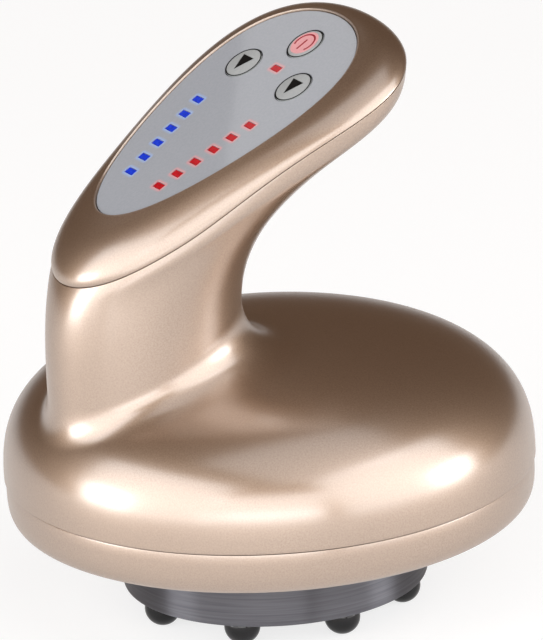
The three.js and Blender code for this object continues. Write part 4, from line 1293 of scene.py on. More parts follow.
@dataclass
class UpperHousing(Assembly):
    """Dome, neck and underside of the head, one lacquered moulding."""

    plane: HandlePlane
    panel: PanelForm
    dome: DomeForm
    neck_centre: float = -30.85
    neck_depth: float = 47.3
    neck_width: float = 37.0
    neck_front_height: float = 44.5
    neck_rear_height: float = 25.5
    front_blend: float = 15.0
    rear_blend: float = 2.5
    neck_steps: int = 66
    fairing: int = 40
    blend_steps: int = 16
    dome_steps: int = 44
    slope_steps: int = 32
    post_radius: float = 3.3
    post_bore: float = 1.5
    post_base: float = 33.9
    # Sections on the way from the parting line to the neck, as shares of that way: the front's
    # place and height, the rear's place and height, the width, and how far the egg is an oval.
    section_shares: tuple[tuple[float, ...], ...] = (
        (0, 0, 0, 0, 0, 0),
        (0.02, 0.119, 0.207, 0.06, 0.02, 0.04),
        (0.203, 0.211, 0.447, 0.149, 0.27, 0.235),
        (0.495, 0.366, 0.702, 0.286, 0.57, 0.497),
        (0.802, 0.587, 0.88, 0.46, 0.82, 0.745),
        (0.972, 0.827, 0.982, 0.683, 0.96, 0.913),
        (1, 1, 1, 1, 1, 1),
    )

    def neck_rings(self) -> np.ndarray:
        """Give the handle's sections from the parting line down to the neck.

        Returns:
            Rings of points over the seam, in millimetres.
        """
        angles = turns()
        share = (1 + np.cos(angles)) / 2
        parting = self.plane.place(self.panel.parting())
        parting[:, 2] -= self.dome.seam_height
        head, tail = parting[0], parting[AROUND // 2]
        rows = spline_columns(
            np.array(self.section_shares, float), np.linspace(0, 1, self.neck_steps)
        )
        rings = []
        for front_x, front_z, rear_x, rear_z, width, egg in rows:
            fx = head[0] + (self.neck_centre + self.neck_depth / 2 - head[0]) * front_x
            fz = head[2] + (self.neck_front_height - head[2]) * front_z
            rx = tail[0] + (self.neck_centre - self.neck_depth / 2 - tail[0]) * rear_x
            rz = tail[2] + (self.neck_rear_height - tail[2]) * rear_z
            cover = self.panel.cover_half_width
            half = cover + (self.neck_width / 2 - cover) * width
            shares = (self.panel.cover_egg[0] * (1 - egg), self.panel.cover_egg[1] * (1 - egg))
            side = egg_half_width(angles, half, shares)
            ring = np.stack([rx + (fx - rx) * share, side, rz + (fz - rz) * share], axis=-1)
            bow = self.panel.bow_at(share) * (1 - width) ** 2
            rings.append(ring + self.plane.normal * bow[:, None])
        faired = np.array(rings)
        for _ in range(self.fairing):
            faired[1:-1] = (faired[:-2] + 2 * faired[1:-1] + faired[2:]) / 4
        return faired

    def outer_rings(self) -> np.ndarray:
        """Give the whole outside, from the parting line to the dome's rim.

        Returns:
            Rings of points in the object's frame, in millimetres.
        """
        neck = self.neck_rings()
        last = neck[-1]
        angles = turns()
        out = np.stack(
            [np.cos(angles) / self.neck_depth, np.sin(angles) / self.neck_width], axis=-1
        )
        out /= np.linalg.norm(out, axis=1, keepdims=True)
        spread = self.rear_blend + (self.front_blend - self.rear_blend) * (1 + np.cos(angles)) / 2
        foot_flat = last[:, :2] + out * spread[:, None]
        foot_height = self.dome.height(np.linalg.norm(foot_flat, axis=1))
        ahead = foot_flat + out * (spread / self.slope_steps)[:, None]
        ahead_height = self.dome.height(np.linalg.norm(ahead, axis=1))
        fall = (foot_height - ahead_height) * self.slope_steps
        foot = np.hstack([foot_flat, foot_height[:, None]])
        corner = last.copy()
        corner[:, 2] = np.minimum(foot_height + fall, last[:, 2])
        blend = []
        for i in range(1, self.blend_steps + 1):
            t = i / self.blend_steps
            blend.append((1 - t) ** 2 * last + 2 * t * (1 - t) * corner + t**2 * foot)
        rim = np.stack([np.cos(angles), np.sin(angles)], axis=-1) * self.dome.radius
        cap = []
        for i in range(1, self.dome_steps + 1):
            share = 1 - (1 - i / self.dome_steps) ** self.dome.fullness
            flat = foot_flat + (rim - foot_flat) * share
            height = self.dome.height(np.linalg.norm(flat, axis=1))
            height = np.maximum(height, self.dome.seam / 2)
            cap.append(np.hstack([flat, height[:, None]]))
        neck[0] = neck[0] - self.plane.normal * self.panel.seam / 2
        rings = np.concatenate([neck, np.array(blend), np.array(cap)])
        rings[..., 2] += self.dome.seam_height
        return rings

    def inner_rings(self, outer: np.ndarray) -> np.ndarray:
        """Give the inside of the even wall.

        Args:
            outer: The rings of the outside.

        Returns:
            Rings of the inside, in the same order.
        """
        normals = ring_normals(outer)
        normals[0] = mouth_normals(outer[0], self.plane.normal)
        normals[-1] = mouth_normals(outer[-1], UPWARD)
        inner = outer - normals * self.dome.wall
        local = self.plane.local(inner)
        mouth = self.panel.parting_depth(local[..., 0]) - self.panel.seam / 2
        local[..., 2] = np.minimum(local[..., 2], mouth)
        return self.plane.place(local)

    def posts(self) -> list[Piece]:
        """Make the four screw posts that hang from the dome.

        Returns:
            The posts.
        """
        made = []
        for x, y in self.dome.post_places():
            dome = float(self.dome.height(math.hypot(x, y)))
            high, low = self.dome.seam_height + dome - self.dome.wall, self.post_base
            outer, bore = self.post_radius, self.post_bore
            profile = [(outer, low), (outer, high), (bore, high), (bore, low)]
            made.append(lathe("post", profile, (x, y, 0.0), TINY_AROUND))
        return made

    def build(self) -> None:
        """Build the moulding and set it on the housing."""
        outer = self.outer_rings()
        inner = self.inner_rings(outer)
        shell = loft("shell", np.concatenate([outer, inner[::-1]]), closed=True, edge_round=0.22)
        piece = merged("upper_shell", [shell, *self.posts()])
        self.fitter.fit(piece, Body.HOUSING, Slot.CHAMPAGNE_PAINT, ("upper_housing",))


class Control(Enum):
    """The three keys of the panel: the body each rides on, and the side it stands on."""

    POWER = (Body.POWER_KEY, 0)
    SUCTION = (Body.SUCTION_KEY, 1)
    HEAT = (Body.HEAT_KEY, -1)

    @property
    def body(self) -> Body:
        """The body that the key rides on."""
        return self.value[0]

    @property
    def side(self) -> int:
        """0 at the head, 1 and -1 at the sides."""
        return self.value[1]

    @property
    def label(self) -> str:
        """What the names of its pieces start with."""
        return self.name.lower()


@dataclass
class ControlHead(Assembly):
    """Cover, panel, keys and lights of the handle's head."""

    plane: HandlePlane
    panel: PanelForm
    key_radius: float = 4.65
    key_gap: float = 0.3
    key_proud: float = 0.12
    key_flange: float = 1.05
    key_flange_height: float = 0.8
    key_stem: float = 1.7
    key_travel: float = 0.5
    switch_height: float = 1.8
    board_depth: float = 7.4
    arrow_setback: float = 11.3
    arrow_spread: float = 11.2
    pip_length: float = 1.5
    pip_width: float = 3.1
    pip_gap: float = 0.15
    pip_corner: float = 0.15
    pip_count: int = 6
    pip_pitch: float = 4.81
    pip_tail: float = 49.0
    pip_tail_spread: float = 6.45
    pip_head_spread: float = 11.75
    status_setback: float = 8.9
    # The painted glow film's rings: how far outside the window each lies, and how strongly the light's
    # spill is painted there.
    painted_glow_levels: tuple[Pair, ...] = ((0.02, 1.0), (0.3, 0.85), (0.6, 0.35), (0.9, 0.0))
    lip_inset: float = 3.34
    lip_reach: float = 2.0
    lip_shoulder: float = 1.6
    lip_thickness: float = 1.2
    lip_skin: float = 1.0
    floor_overlap: float = 0.05
    ink_film: float = 0.02
    ink_overlap: float = 1.5
    # The cap's rounded edge: how far in from its side and down from its top each point lies.
    key_edge: tuple[Pair, ...] = ((0.5, 0.0), (0.25, 0.04), (0.07, 0.12), (0.0, 0.3))
    rim_inset: float = 0.02
    rim_line: float = 0.3
    arrow: tuple[Pair, ...] = ((2.0, 2.65), (2.0, -1.65), (-2.6, 0.5))
    disc_radius: float = 3.6
    disc_place: Pair = (0.1, 0.4)
    arc_radii: Pair = (2.95, 2.5)
    arc_place: Pair = (0.1, 0.5)
    arc_degrees: Pair = (-128.0, 120.0)
    arc_steps: int = 40
    bar_form: tuple[float, float, float] = (1.7, 0.24, 0.2)
    bar_place: Pair = (-0.5, 0.6)

    def key_place(self, control: Control) -> Pair:
        """Give where a key stands, along and across the panel."""
        return (-self.arrow_setback * abs(control.side), self.arrow_spread * control.side)

    def pip_places(self, side: int) -> Outline:
        """Give the places of one row of lights, from its tail end.

        Args:
            side: 1 for the suction row, -1 for the heat row.

        Returns:
            Places along and across.
        """
        spreads = np.linspace(self.pip_tail_spread, self.pip_head_spread, self.pip_count)
        return [(-self.pip_tail + self.pip_pitch * i, side * float(w)) for i, w in enumerate(spreads)]

    def openings(self) -> list[Outline]:
        """Give the outlines of all holes for keys and lights.

        Returns:
            The outlines.
        """
        ring = circle(self.key_radius + self.key_gap / 2)
        holes = [moved(ring, *self.key_place(control)) for control in Control]
        window = self.pip_frame(0.0, 2)
        pips = [*self.pip_places(1), *self.pip_places(-1), (-self.status_setback, 0.0)]
        return holes + [moved(window, *place) for place in pips]

    def pip_frame(self, reach: float, steps: int = 4) -> Outline:
        """Give the outline round a light, so far outside its window, with so fine corners."""
        half_length = self.pip_length / 2 + self.pip_gap + reach
        half_width = self.pip_width / 2 + self.pip_gap + reach
        return rounded_rectangle(half_length, half_width, self.pip_corner + reach, steps)

    def cover(self) -> None:
        """Build the crowned cover with its pocket, floor and lip."""
        crown = self.panel.crown()
        normals = ring_normals(crown)
        normals[-1] = mouth_normals(crown[-1], UPWARD)
        inside = (crown - normals * self.panel.wall)[1:]
        inside[..., 2] = np.minimum(inside[..., 2], -self.panel.floor_depth)
        pocket = self.panel.outline(-self.panel.gap)
        brow = self.panel.outline(-self.panel.gap - self.panel.rim_slope)
        top = np.hstack([pocket, np.zeros((AROUND, 1))])
        rim = np.hstack([brow, np.full((AROUND, 1), self.panel.rim)])
        bed = np.hstack([pocket, np.full((AROUND, 1), -self.panel.thickness - self.panel.gap)])
        under = np.hstack([pocket, np.full((AROUND, 1), -self.panel.floor_depth)])
        rings = np.concatenate([[bed], [top], [rim], crown, inside[::-1], [under]])
        shell = loft("cover_skin", rings, closed=True, edge_round=0.12)
        edge = [tuple(p) for p in self.panel.outline(-self.panel.gap - self.floor_overlap)]
        low, high = -self.panel.floor_depth, -self.panel.thickness - self.panel.gap
        floor = plate_with_holes("cover_floor", [edge, *self.openings()], low, high)
        piece = merged("cover_shell", [shell, floor, self.lip()])
        self.plane.settle(piece)
        self.fitter.fit(piece, Body.HOUSING, Slot.CHAMPAGNE_PAINT, ("handle_cover",))

    def lip(self) -> Piece:
        """Build the lip that locates the cover inside the housing's mouth.

        Returns:
            The lip, in the panel's own frame.
        """
        parting = self.panel.parting()
        normals = mouth_normals(parting, UPWARD)
        lean = self.lip_reach * math.tan(self.plane.tilt)
        section = [
            (-self.lip_shoulder, self.lip_skin),
            (-self.lip_shoulder / 2, self.lip_skin),
            (-self.lip_shoulder / 2, self.lip_inset),
            (self.lip_reach, self.lip_inset + lean),
            (self.lip_reach, self.lip_inset + lean + self.lip_thickness),
            (-self.lip_shoulder, self.lip_inset + self.lip_thickness),
        ]
        rings = [parting - normals * depth - np.array([0, 0, drop]) for drop, depth in section]
        return loft("cover_lip", np.array(rings), closed=True)

    def face(self) -> None:
        """Build the acrylic panel with its holes and polished edges."""
        edge = [tuple(p) for p in self.panel.outline(-self.panel.gap / 2)]
        outlines, low = [edge, *self.openings()], -self.panel.thickness
        piece = plate_with_holes("panel_plate", outlines, low, 0.0, edge_round=0.12)
        self.plane.settle(piece)
        self.fitter.fit(piece, Body.HOUSING, Slot.PANEL_GREY, ("control_panel",))

    def painted_glow_frames(self) -> None:
        """Build the painted glow round each light: a film over the print with the light's spill
        painted in, fading outwards.
        """
        blue, red = self.fitter.finishes.painted_blue_glow, self.fitter.finishes.painted_red_glow
        status = [(-self.status_setback, 0.0)]
        for name, places, material, slot in (
            ("suction_glow", self.pip_places(1), blue, Slot.BLUE_LIGHT),
            ("heat_glow", self.pip_places(-1), red, Slot.RED_LIGHT),
            ("status_glow", status, red, Slot.RED_LIGHT),
        ):
            points: list[tuple[float, float, float]] = []
            strengths: list[float] = []
            faces: Faces = []
            for place in places:
                start = len(points)
                for reach, strength in self.painted_glow_levels:
                    outline = moved(self.pip_frame(reach), *place)
                    points += [(a * MM, b * MM, self.ink_film * MM) for a, b in outline]
                    strengths += [strength] * len(outline)
                for face in ring_faces(len(self.painted_glow_levels), len(outline), False):
                    faces.append(tuple(start + k for k in face))
            mesh = bpy.data.meshes.new(name)
            mesh.from_pydata(points, [], faces)
            # How strongly the light's spill is painted in at each point of the film.
            glow = mesh.attributes.new("glow", "FLOAT", "POINT")
            glow.data.foreach_set("value", strengths)
            piece = linked(name, mesh)
            self.plane.settle(piece)
            shade(piece)
            self.fitter.fit(piece, Body.HOUSING, slot, material=material)

    def key(self, control: Control) -> None:
        """Build one round key: crowned cap, flange and stem.

        Args:
            control: The key.
        """
        radius, skirt = self.key_radius, self.key_radius + self.key_flange
        flange_top = -self.panel.floor_depth - self.panel.gap
        flange_bottom = flange_top - self.key_flange_height
        stem = -self.board_depth + self.switch_height + self.key_travel + self.key_gap / 2
        profile = [
            (0.0, self.key_proud),
            *((radius - inset, self.key_proud - drop) for inset, drop in self.key_edge),
            (radius, flange_top),
            (skirt, flange_top),
            (skirt, flange_bottom),
            (self.key_stem, flange_bottom),
            (self.key_stem, stem),
            (0.0, stem),
        ]
        piece = lathe(f"{control.label}_key_cap", profile, count=MEDIUM_AROUND)
        self.plane.settle(piece, *self.key_place(control))
        self.fitter.fit(piece, control.body, Slot.KEY_GREY, (f"{control.label}_button",))

    def ink_plate(
        self,
        control: Control,
        sign: str,
        outline: Outline,
        ink: Material,
        hole: Outline | None = None,
        on_print: bool = False,
    ) -> None:
        """Print a shape on a key.

        Args:
            control: The key.
            sign: What the shape shows, which ends the piece's name.
            outline: The shape's outline, as along and across from the key's middle.
            ink: Its ink.
            hole: The outline of a hole in it, where it has one.
            on_print: Whether it lies on another print.
        """
        base = self.key_proud + (self.ink_film * self.ink_overlap if on_print else 0.0)
        outlines = [outline] if hole is None else [outline, hole]
        low, high = base - self.ink_film, base + self.ink_film
        piece = plate_with_holes(f"{control.label}_{sign}", outlines, low, high)
        self.plane.settle(piece, *self.key_place(control))
        self.fitter.fit(piece, control.body, Slot.KEY_GREY, material=ink)

    def signs(self) -> None:
        """Print the arrow on each side key and the power sign on the middle one."""
        inks = self.fitter.finishes
        rim = circle(self.key_radius - self.rim_inset)
        hole = circle(self.key_radius - self.rim_inset - self.rim_line)
        for control in (Control.SUCTION, Control.HEAT):
            self.ink_plate(control, "arrow", list(self.arrow), inks.black_ink)
            self.ink_plate(control, "rim", rim, inks.black_ink, hole)
        power = Control.POWER
        self.ink_plate(power, "rim", rim, inks.black_ink, hole)
        disc = moved(circle(self.disc_radius), *self.disc_place)
        self.ink_plate(power, "disc", disc, inks.pink_ink)
        sweep = np.linspace(*(math.radians(a) for a in self.arc_degrees), self.arc_steps)
        outer, inner = self.arc_radii
        arc = [(outer * math.cos(a), outer * math.sin(a)) for a in sweep]
        arc += [(inner * math.cos(a), inner * math.sin(a)) for a in sweep[::-1]]
        arc = moved(arc, *self.arc_place)
        self.ink_plate(power, "arc", arc, inks.red_ink, on_print=True)
        bar = moved(rounded_rectangle(*self.bar_form, 3), *self.bar_place)
        self.ink_plate(power, "bar", bar, inks.red_ink, on_print=True)

    def build(self) -> None:
        """Build the whole head."""
        self.cover()
        self.face()
        self.painted_glow_frames()
        for control in Control:
            self.key(control)
        self.signs()


@dataclass
class LowerHousing(Assembly):
    """The lower lacquered shell with its charging socket and housing screws."""

    dome: DomeForm
    depth: float = 11.3
    step: float = 0.4
    corner_run: float = 16.0
    outer_steps: int = 40
    inner_steps: int = 30
    fullness: float = 4.8
    hole_radius: float = 25.3
    tongue_gap: float = 0.6
    tongue_root: float = 3.0
    tongue_reach: float = 2.5
    lip_thickness: float = 1.2
    post_radius: float = 4.7
    post_top: float = 31.5
    screw_head: float = 2.6
    screw_head_height: float = 1.8
    screw_shank: float = 1.2
    screw_length: float = 16.0
    # The crown of the screw's head: shares of its radius, and heights over its lowest point.
    screw_crown: tuple[Pair, ...] = ((0.0, 0.0), (0.45, 0.04), (0.8, 0.25), (0.96, 0.7))
    recess_share: float = 0.55
    recess_half_width: float = 0.28
    recess_corner: float = 0.1
    recess_depth: float = 1.1
    cut_margin: float = 1.0
    fit_gap: float = 0.3
    socket_width: float = 9.0
    socket_height: float = 3.3
    socket_depth: float = 7.3
    socket_wall: float = 0.35
    socket_back: float = 1.4
    socket_tongue: float = 0.7
    socket_tongue_setback: float = 0.9
    socket_tongue_corner: float = 0.2
    socket_drop: float = 5.8
    socket_inset: float = 1.0

    @property
    def radius(self) -> float:
        """The shell's outer radius at the seam."""
        return self.dome.radius - self.step

    @property
    def bottom(self) -> float:
        """Height of the shell's underside."""
        return self.dome.seam_height - self.depth

    @property
    def socket_face(self) -> float:
        """How far out the socket's mouth stands."""
        return self.radius - self.socket_inset

    def corner(self, radius: float, run: float, depth: float, steps: int) -> Outline:
        """Give a full rounded corner from wall to floor.

        Args:
            radius: The wall's radius.
            run: How far in the corner reaches.
            depth: How far down it reaches.
            steps: The number of points.

        Returns:
            Radius and height of each point.
        """
        points = []
        for i in range(steps):
            turn = (math.pi / 2) * i / (steps - 1)
            across = max(math.cos(turn), 0.0) ** (2 / self.fullness)
            down = math.sin(turn) ** (2 / self.fullness)
            points.append((radius - run + run * across, self.dome.seam_height - depth * down))
        return points

    def shell(self) -> None:
        """Build the shell with its tongue, posts, screw holes and socket window."""
        wall, seam = self.dome.wall, self.dome.seam_height
        floor, mouth = self.bottom + wall, seam - self.dome.seam / 2
        outer = self.corner(self.radius, self.corner_run, self.depth, self.outer_steps)
        outer[0] = (outer[0][0], mouth)
        run, depth = self.corner_run - wall, self.depth - wall
        inner = self.corner(self.radius - wall, run, depth, self.inner_steps)[::-1]
        inner[-1] = (inner[-1][0], mouth)
        profile = [*outer, (self.hole_radius, self.bottom), (self.hole_radius, floor), *inner]
        body = lathe("lower_body", profile, edge_round=0.2)
        face = self.dome.radius - wall - self.tongue_gap
        back, skirt = face - self.lip_thickness, self.radius - wall / 2
        root, top, step = seam - self.tongue_root, seam + self.tongue_reach, seam - self.dome.seam
        profile = [(skirt, root), (back, root), (back, top), (face, top), (face, step), (skirt, step)]
        tongue = lathe("lower_tongue", profile)
        bore, sink = self.screw_shank + self.fit_gap, self.screw_head + self.fit_gap
        radius, high = self.post_radius, self.post_top
        post = [(radius, floor), (radius, high), (bore, high), (bore, floor)]
        low, high = self.bottom - self.cut_margin, floor + self.cut_margin / 2
        sunk = [(0, low), (sink, low), (sink, high), (0, high)]
        tools, posts = [self.window()], []
        for x, y in self.dome.post_places():
            posts.append(lathe("lower_post", post, (x, y, 0.0), TINY_AROUND))
            tools.append(lathe("counterbore", sunk, (x, y, 0.0), SMALL_AROUND))
        piece = merged("lower_shell", [carved(body, tools), tongue, *posts])
        self.fitter.fit(piece, Body.HOUSING, Slot.CHAMPAGNE_PAINT, ("lower_housing",))

    def upright(self, sections: list[tuple[Outline, float]]) -> np.ndarray:
        """Stand outlines across X round the socket's middle, each at its own place along X."""
        height = self.dome.seam_height - self.socket_drop
        return np.array([[(x, a, height + b) for a, b in outline] for outline, x in sections])

    def window(self) -> Piece:
        """Make the tool that opens the wall for the charging socket."""
        half_width = self.socket_width / 2 + self.fit_gap
        outline = stadium(half_width, self.socket_height / 2 + self.fit_gap)
        start, end = self.socket_face - self.socket_depth, self.radius + 3 * self.cut_margin
        return loft("window_tool", self.upright([(outline, start), (outline, end)]), capped=True)

    def socket(self) -> None:
        """Build the charging socket: a drawn steel shell round a tongue."""
        face, wall = self.socket_face, self.socket_wall
        back = face - self.socket_depth
        half_width, half_height = self.socket_width / 2, self.socket_height / 2
        outer = stadium(half_width, half_height)
        inner = stadium(half_width - wall, half_height - wall)
        sections = [(outer, back), (outer, face), (inner, face), (inner, back + self.socket_back)]
        shell = loft("socket_shell", self.upright(sections), capped=True, edge_round=0.08)
        blade = rounded_rectangle(
            half_width - half_height, self.socket_tongue / 2, self.socket_tongue_corner, 3
        )
        ends = (back + self.socket_back / 2, face - self.socket_tongue_setback)
        rings = self.upright([(blade, end) for end in ends])
        tongue = loft("socket_tongue", rings, capped=True, edge_round=0.05)
        plastic = self.fitter.finishes.by_slot[Slot.BLACK_PLASTIC]
        self.fitter.fit(shell, Body.HOUSING, Slot.PLAIN_STEEL, ("charging_socket",))
        self.fitter.fit(tongue, Body.HOUSING, Slot.PLAIN_STEEL, material=plastic)

    def recess_tool(self, x: float, y: float, turn: float) -> Piece:
        """Make one bar of the cross that is cut in a screw's head.

        Args:
            x: The screw's place along X.
            y: Its place along Y.
            turn: The bar's angle.

        Returns:
            The tool.
        """
        reach = self.screw_head * self.recess_share
        bar = rounded_rectangle(reach, self.recess_half_width, self.recess_corner, 2)
        c, s = math.cos(turn), math.sin(turn)
        outline = [(x + a * c - b * s, y + a * s + b * c) for a, b in bar]
        heights = (self.bottom - self.cut_margin, self.bottom + self.recess_depth)
        rings = [[(a, b, z) for a, b in outline] for z in heights]
        return loft("recess_tool", np.array(rings), capped=True)

    def screws(self) -> None:
        """Build the four pan-head screws with their cross recesses."""
        base, head, shank = self.bottom, self.screw_head, self.screw_shank
        shoulder = base + self.screw_head_height
        tip = shoulder + self.screw_length
        profile = [
            *((head * share, base + rise) for share, rise in self.screw_crown),
            (head, shoulder),
            (shank, shoulder),
            (shank, tip - shank),
            (0.0, tip),
        ]
        for i, (x, y) in enumerate(self.dome.post_places(), start=1):
            body = lathe("screw_body", profile, (x, y, 0.0), SMALL_AROUND)
            piece = carved(body, [self.recess_tool(x, y, turn) for turn in (0.0, math.pi / 2)])
            piece.name = f"housing_screw_{i}_turned"
            self.fitter.fit(piece, Body.HOUSING, Slot.PLAIN_STEEL, (f"housing_screw_{i}",))

    def build(self) -> None:
        """Build the shell, the socket and the screws."""
        self.shell()
        self.socket()
        self.screws()


@dataclass
class SuctionCup(Assembly):
    """The chromed ring with its beads, and what is seen inside the cup."""

    ring_radius: float = 35.0
    ring_inner: float = 25.0
    ring_wall: float = 1.6
    ring_bottom: float = 5.5
    ring_top: float = 21.4
    ring_floor: float = 4.5
    chamfer: float = 0.8
    corner_bend: float = 0.3
    gasket: float = 0.7
    bead_radius: float = 4.15
    bead_circle: float = 30.0
    bead_count: int = 8
    ball_steps: int = 24
    fit_gap: float = 0.3
    bowl_radius: float = 24.7
    bowl_wall: float = 1.8
    bowl_rim: float = 7.0
    bowl_inside: float = 29.0
    bowl_corner: float = 3.0
    flange_bottom: float = 24.2
    flange_reach: float = 1.2
    flange_height: float = 1.2
    boss_radius: float = 5.0
    boss_drop: float = 5.8
    nozzle_radius: float = 1.6
    port_bore: float = 0.9
    port_top: float = 38.2
    lens_bottom: float = 25.6
    lens_thickness: float = 1.0
    plate_bottom: float = 24.4
    plate_thickness: float = 0.9
    stack_outer: float = 19.6
    light_circle: float = 13.0
    light_radius: float = 1.5
    light_count: int = 6
    # A pip's rounded edge: shares of its radius, and heights over the plate's underside.
    light_edge: tuple[Pair, ...] = ((0.7, 0.06), (1.0, 0.4))
    cap_radius: float = 8.5
    cap_top: float = 24.1
    cap_bottom: float = 20.6
    cap_floor: float = 1.2
    # The cap's rounded edge: how far in from its side and over its underside each point lies.
    cap_edge: tuple[Pair, ...] = ((0.0, 1.0), (0.3, 0.3), (1.0, 0.0))
    slot_radius: float = 0.8
    slot_circle: float = 3.2
    slot_count: int = 6
    # How far below and above the cap's underside the tool for an air hole reaches.
    slot_overrun: Pair = (1.0, 3.0)

    def bead_places(self) -> Outline:
        """Give the places of the beads, in the order of their nodes."""
        return circle(self.bead_circle, self.bead_count)

    def ball(self, name: str, radius: float, place: tuple[float, float, float]) -> Piece:
        """Turn a ball.

        Args:
            name: The object's name.
            radius: Its radius.
            place: Its middle.

        Returns:
            The ball.
        """
        profile = []
        for i in range(self.ball_steps + 1):
            turn = -math.pi / 2 + math.pi * i / self.ball_steps
            across = 0.0 if i in (0, self.ball_steps) else radius * math.cos(turn)
            profile.append((across, radius * math.sin(turn)))
        return lathe(name, profile, place, SMALL_AROUND)

    def ring(self) -> None:
        """Build the plated ring with a seat for each bead."""
        outer, inner, low = self.ring_radius, self.ring_inner, self.ring_bottom
        chamfer, bend = self.chamfer, self.chamfer * self.corner_bend
        channel = low + self.ring_floor
        wall_top = self.ring_top - self.gasket - self.fit_gap
        profile = [
            (outer - chamfer, low),
            (outer - bend, low + bend),
            (outer, low + chamfer),
            (outer, wall_top),
            (outer - self.ring_wall, wall_top),
            (outer - self.ring_wall, channel),
            (inner + self.ring_wall, channel),
            (inner + self.ring_wall, self.ring_top),
            (inner, self.ring_top),
            (inner, low + chamfer),
            (inner + bend, low + bend),
            (inner + chamfer, low),
        ]
        body = lathe("ring_body", profile, edge_round=0.12)
        tools = [
            self.ball("seat_tool", self.bead_radius + self.fit_gap, (x, y, self.bead_radius))
            for x, y in self.bead_places()
        ]
        piece = carved(body, tools)
        piece.name = "plated_ring"
        self.fitter.fit(piece, Body.HOUSING, Slot.DARK_CHROME, ("cup_ring",))

    def beads(self) -> None:
        """Build the eight beads."""
        for i, (x, y) in enumerate(self.bead_places()):
            piece = self.ball(f"glossy_bead_{i + 1}", self.bead_radius, (x, y, self.bead_radius))
            self.fitter.fit(piece, Body.HOUSING, Slot.BLACK_BEAD, (f"bead_{i + 1}",))

    def bowl(self) -> None:
        """Build the cup's liner with its air port."""
        outer, inner = self.bowl_radius, self.bowl_radius - self.bowl_wall
        top, inside, corner = self.bowl_inside + self.bowl_wall, self.bowl_inside, self.bowl_corner
        bend, boss = corner * self.corner_bend, inside - self.boss_drop
        low, high = self.flange_bottom, self.flange_bottom + self.flange_height
        reach = self.ring_inner + self.fit_gap + self.flange_reach
        profile = [
            (outer, self.bowl_rim),
            (outer, low),
            (reach, low),
            (reach, high),
            (outer, high),
            (outer, top - corner),
            (outer - bend, top - bend),
            (outer - corner, top),
            (self.nozzle_radius, top),
            (self.nozzle_radius, self.port_top),
            (self.port_bore, self.port_top),
            (self.port_bore, boss),
            (self.boss_radius, boss),
            (self.boss_radius, inside),
            (inner - corner, inside),
            (inner - bend, inside - bend),
            (inner, inside - corner),
            (inner, self.bowl_rim),
        ]
        piece = lathe("cup_liner", profile, count=LARGE_AROUND, edge_round=0.15)
        self.fitter.fit(piece, Body.HOUSING, Slot.BLACK_PLASTIC, ("cup_bowl",))

    def ceiling(self) -> None:
        """Build the warm plate and the red light ring over it."""
        places = circle(self.light_circle, self.light_count)
        hole = circle(self.light_radius + self.fit_gap, TINY_AROUND)
        bore = circle(self.boss_radius + self.fit_gap, MEDIUM_AROUND)
        rim = circle(self.bowl_radius - self.bowl_wall - self.fit_gap, AROUND)
        outlines = [rim, bore, *(moved(hole, x, y) for x, y in places)]
        low, high = self.plate_bottom, self.plate_bottom + self.plate_thickness
        plate = plate_with_holes("warm_plate_disc", outlines, low, high, edge_round=0.1)
        self.fitter.fit(plate, Body.HOUSING, Slot.WARM_PLATE, ("heater_plate",))
        outlines = [circle(self.stack_outer, LARGE_AROUND), bore]
        bottom, top = self.lens_bottom, self.lens_bottom + self.lens_thickness
        lens = plate_with_holes("lens", outlines, bottom, top)
        radius, middle = self.light_radius, (bottom + top) / 2
        profile = [
            (0.0, low),
            *((radius * share, low + rise) for share, rise in self.light_edge),
            (radius, middle),
            (0.0, middle),
        ]
        pips = [lathe("pip", profile, (x, y, 0.0), TINY_AROUND) for x, y in places]
        ring = merged("red_light_lens", [lens, *pips])
        self.fitter.fit(ring, Body.HOUSING, Slot.RED_LIGHT, ("light_ring",))

    def cap(self) -> None:
        """Build the filter cap with its ring of air holes."""
        low, high, radius = self.cap_bottom, self.cap_top, self.cap_radius
        floor, bore = low + self.cap_floor, self.boss_radius + self.fit_gap
        profile = [
            (0.0, floor),
            (bore, floor),
            (bore, high),
            (radius, high),
            *((radius - inset, low + rise) for inset, rise in self.cap_edge),
            (0.0, low),
        ]
        body = lathe("cap_body", profile, count=MEDIUM_AROUND)
        slot, start, end = self.slot_radius, low - self.slot_overrun[0], low + self.slot_overrun[1]
        tool = [(0, start), (slot, start), (slot, end), (0, end)]
        places = circle(self.slot_circle, self.slot_count)
        tools = [lathe("slot_tool", tool, (x, y, 0.0), TINY_AROUND) for x, y in places]
        piece = carved(body, tools)
        piece.name = "filter_cap_moulded"
        self.fitter.fit(piece, Body.HOUSING, Slot.BLACK_PLASTIC, ("filter_cap",))

    def build(self) -> None:
        """Build ring, beads, liner, ceiling and filter cap."""
        self.ring()
        self.beads()
        self.bowl()
        self.ceiling()
        self.cap()


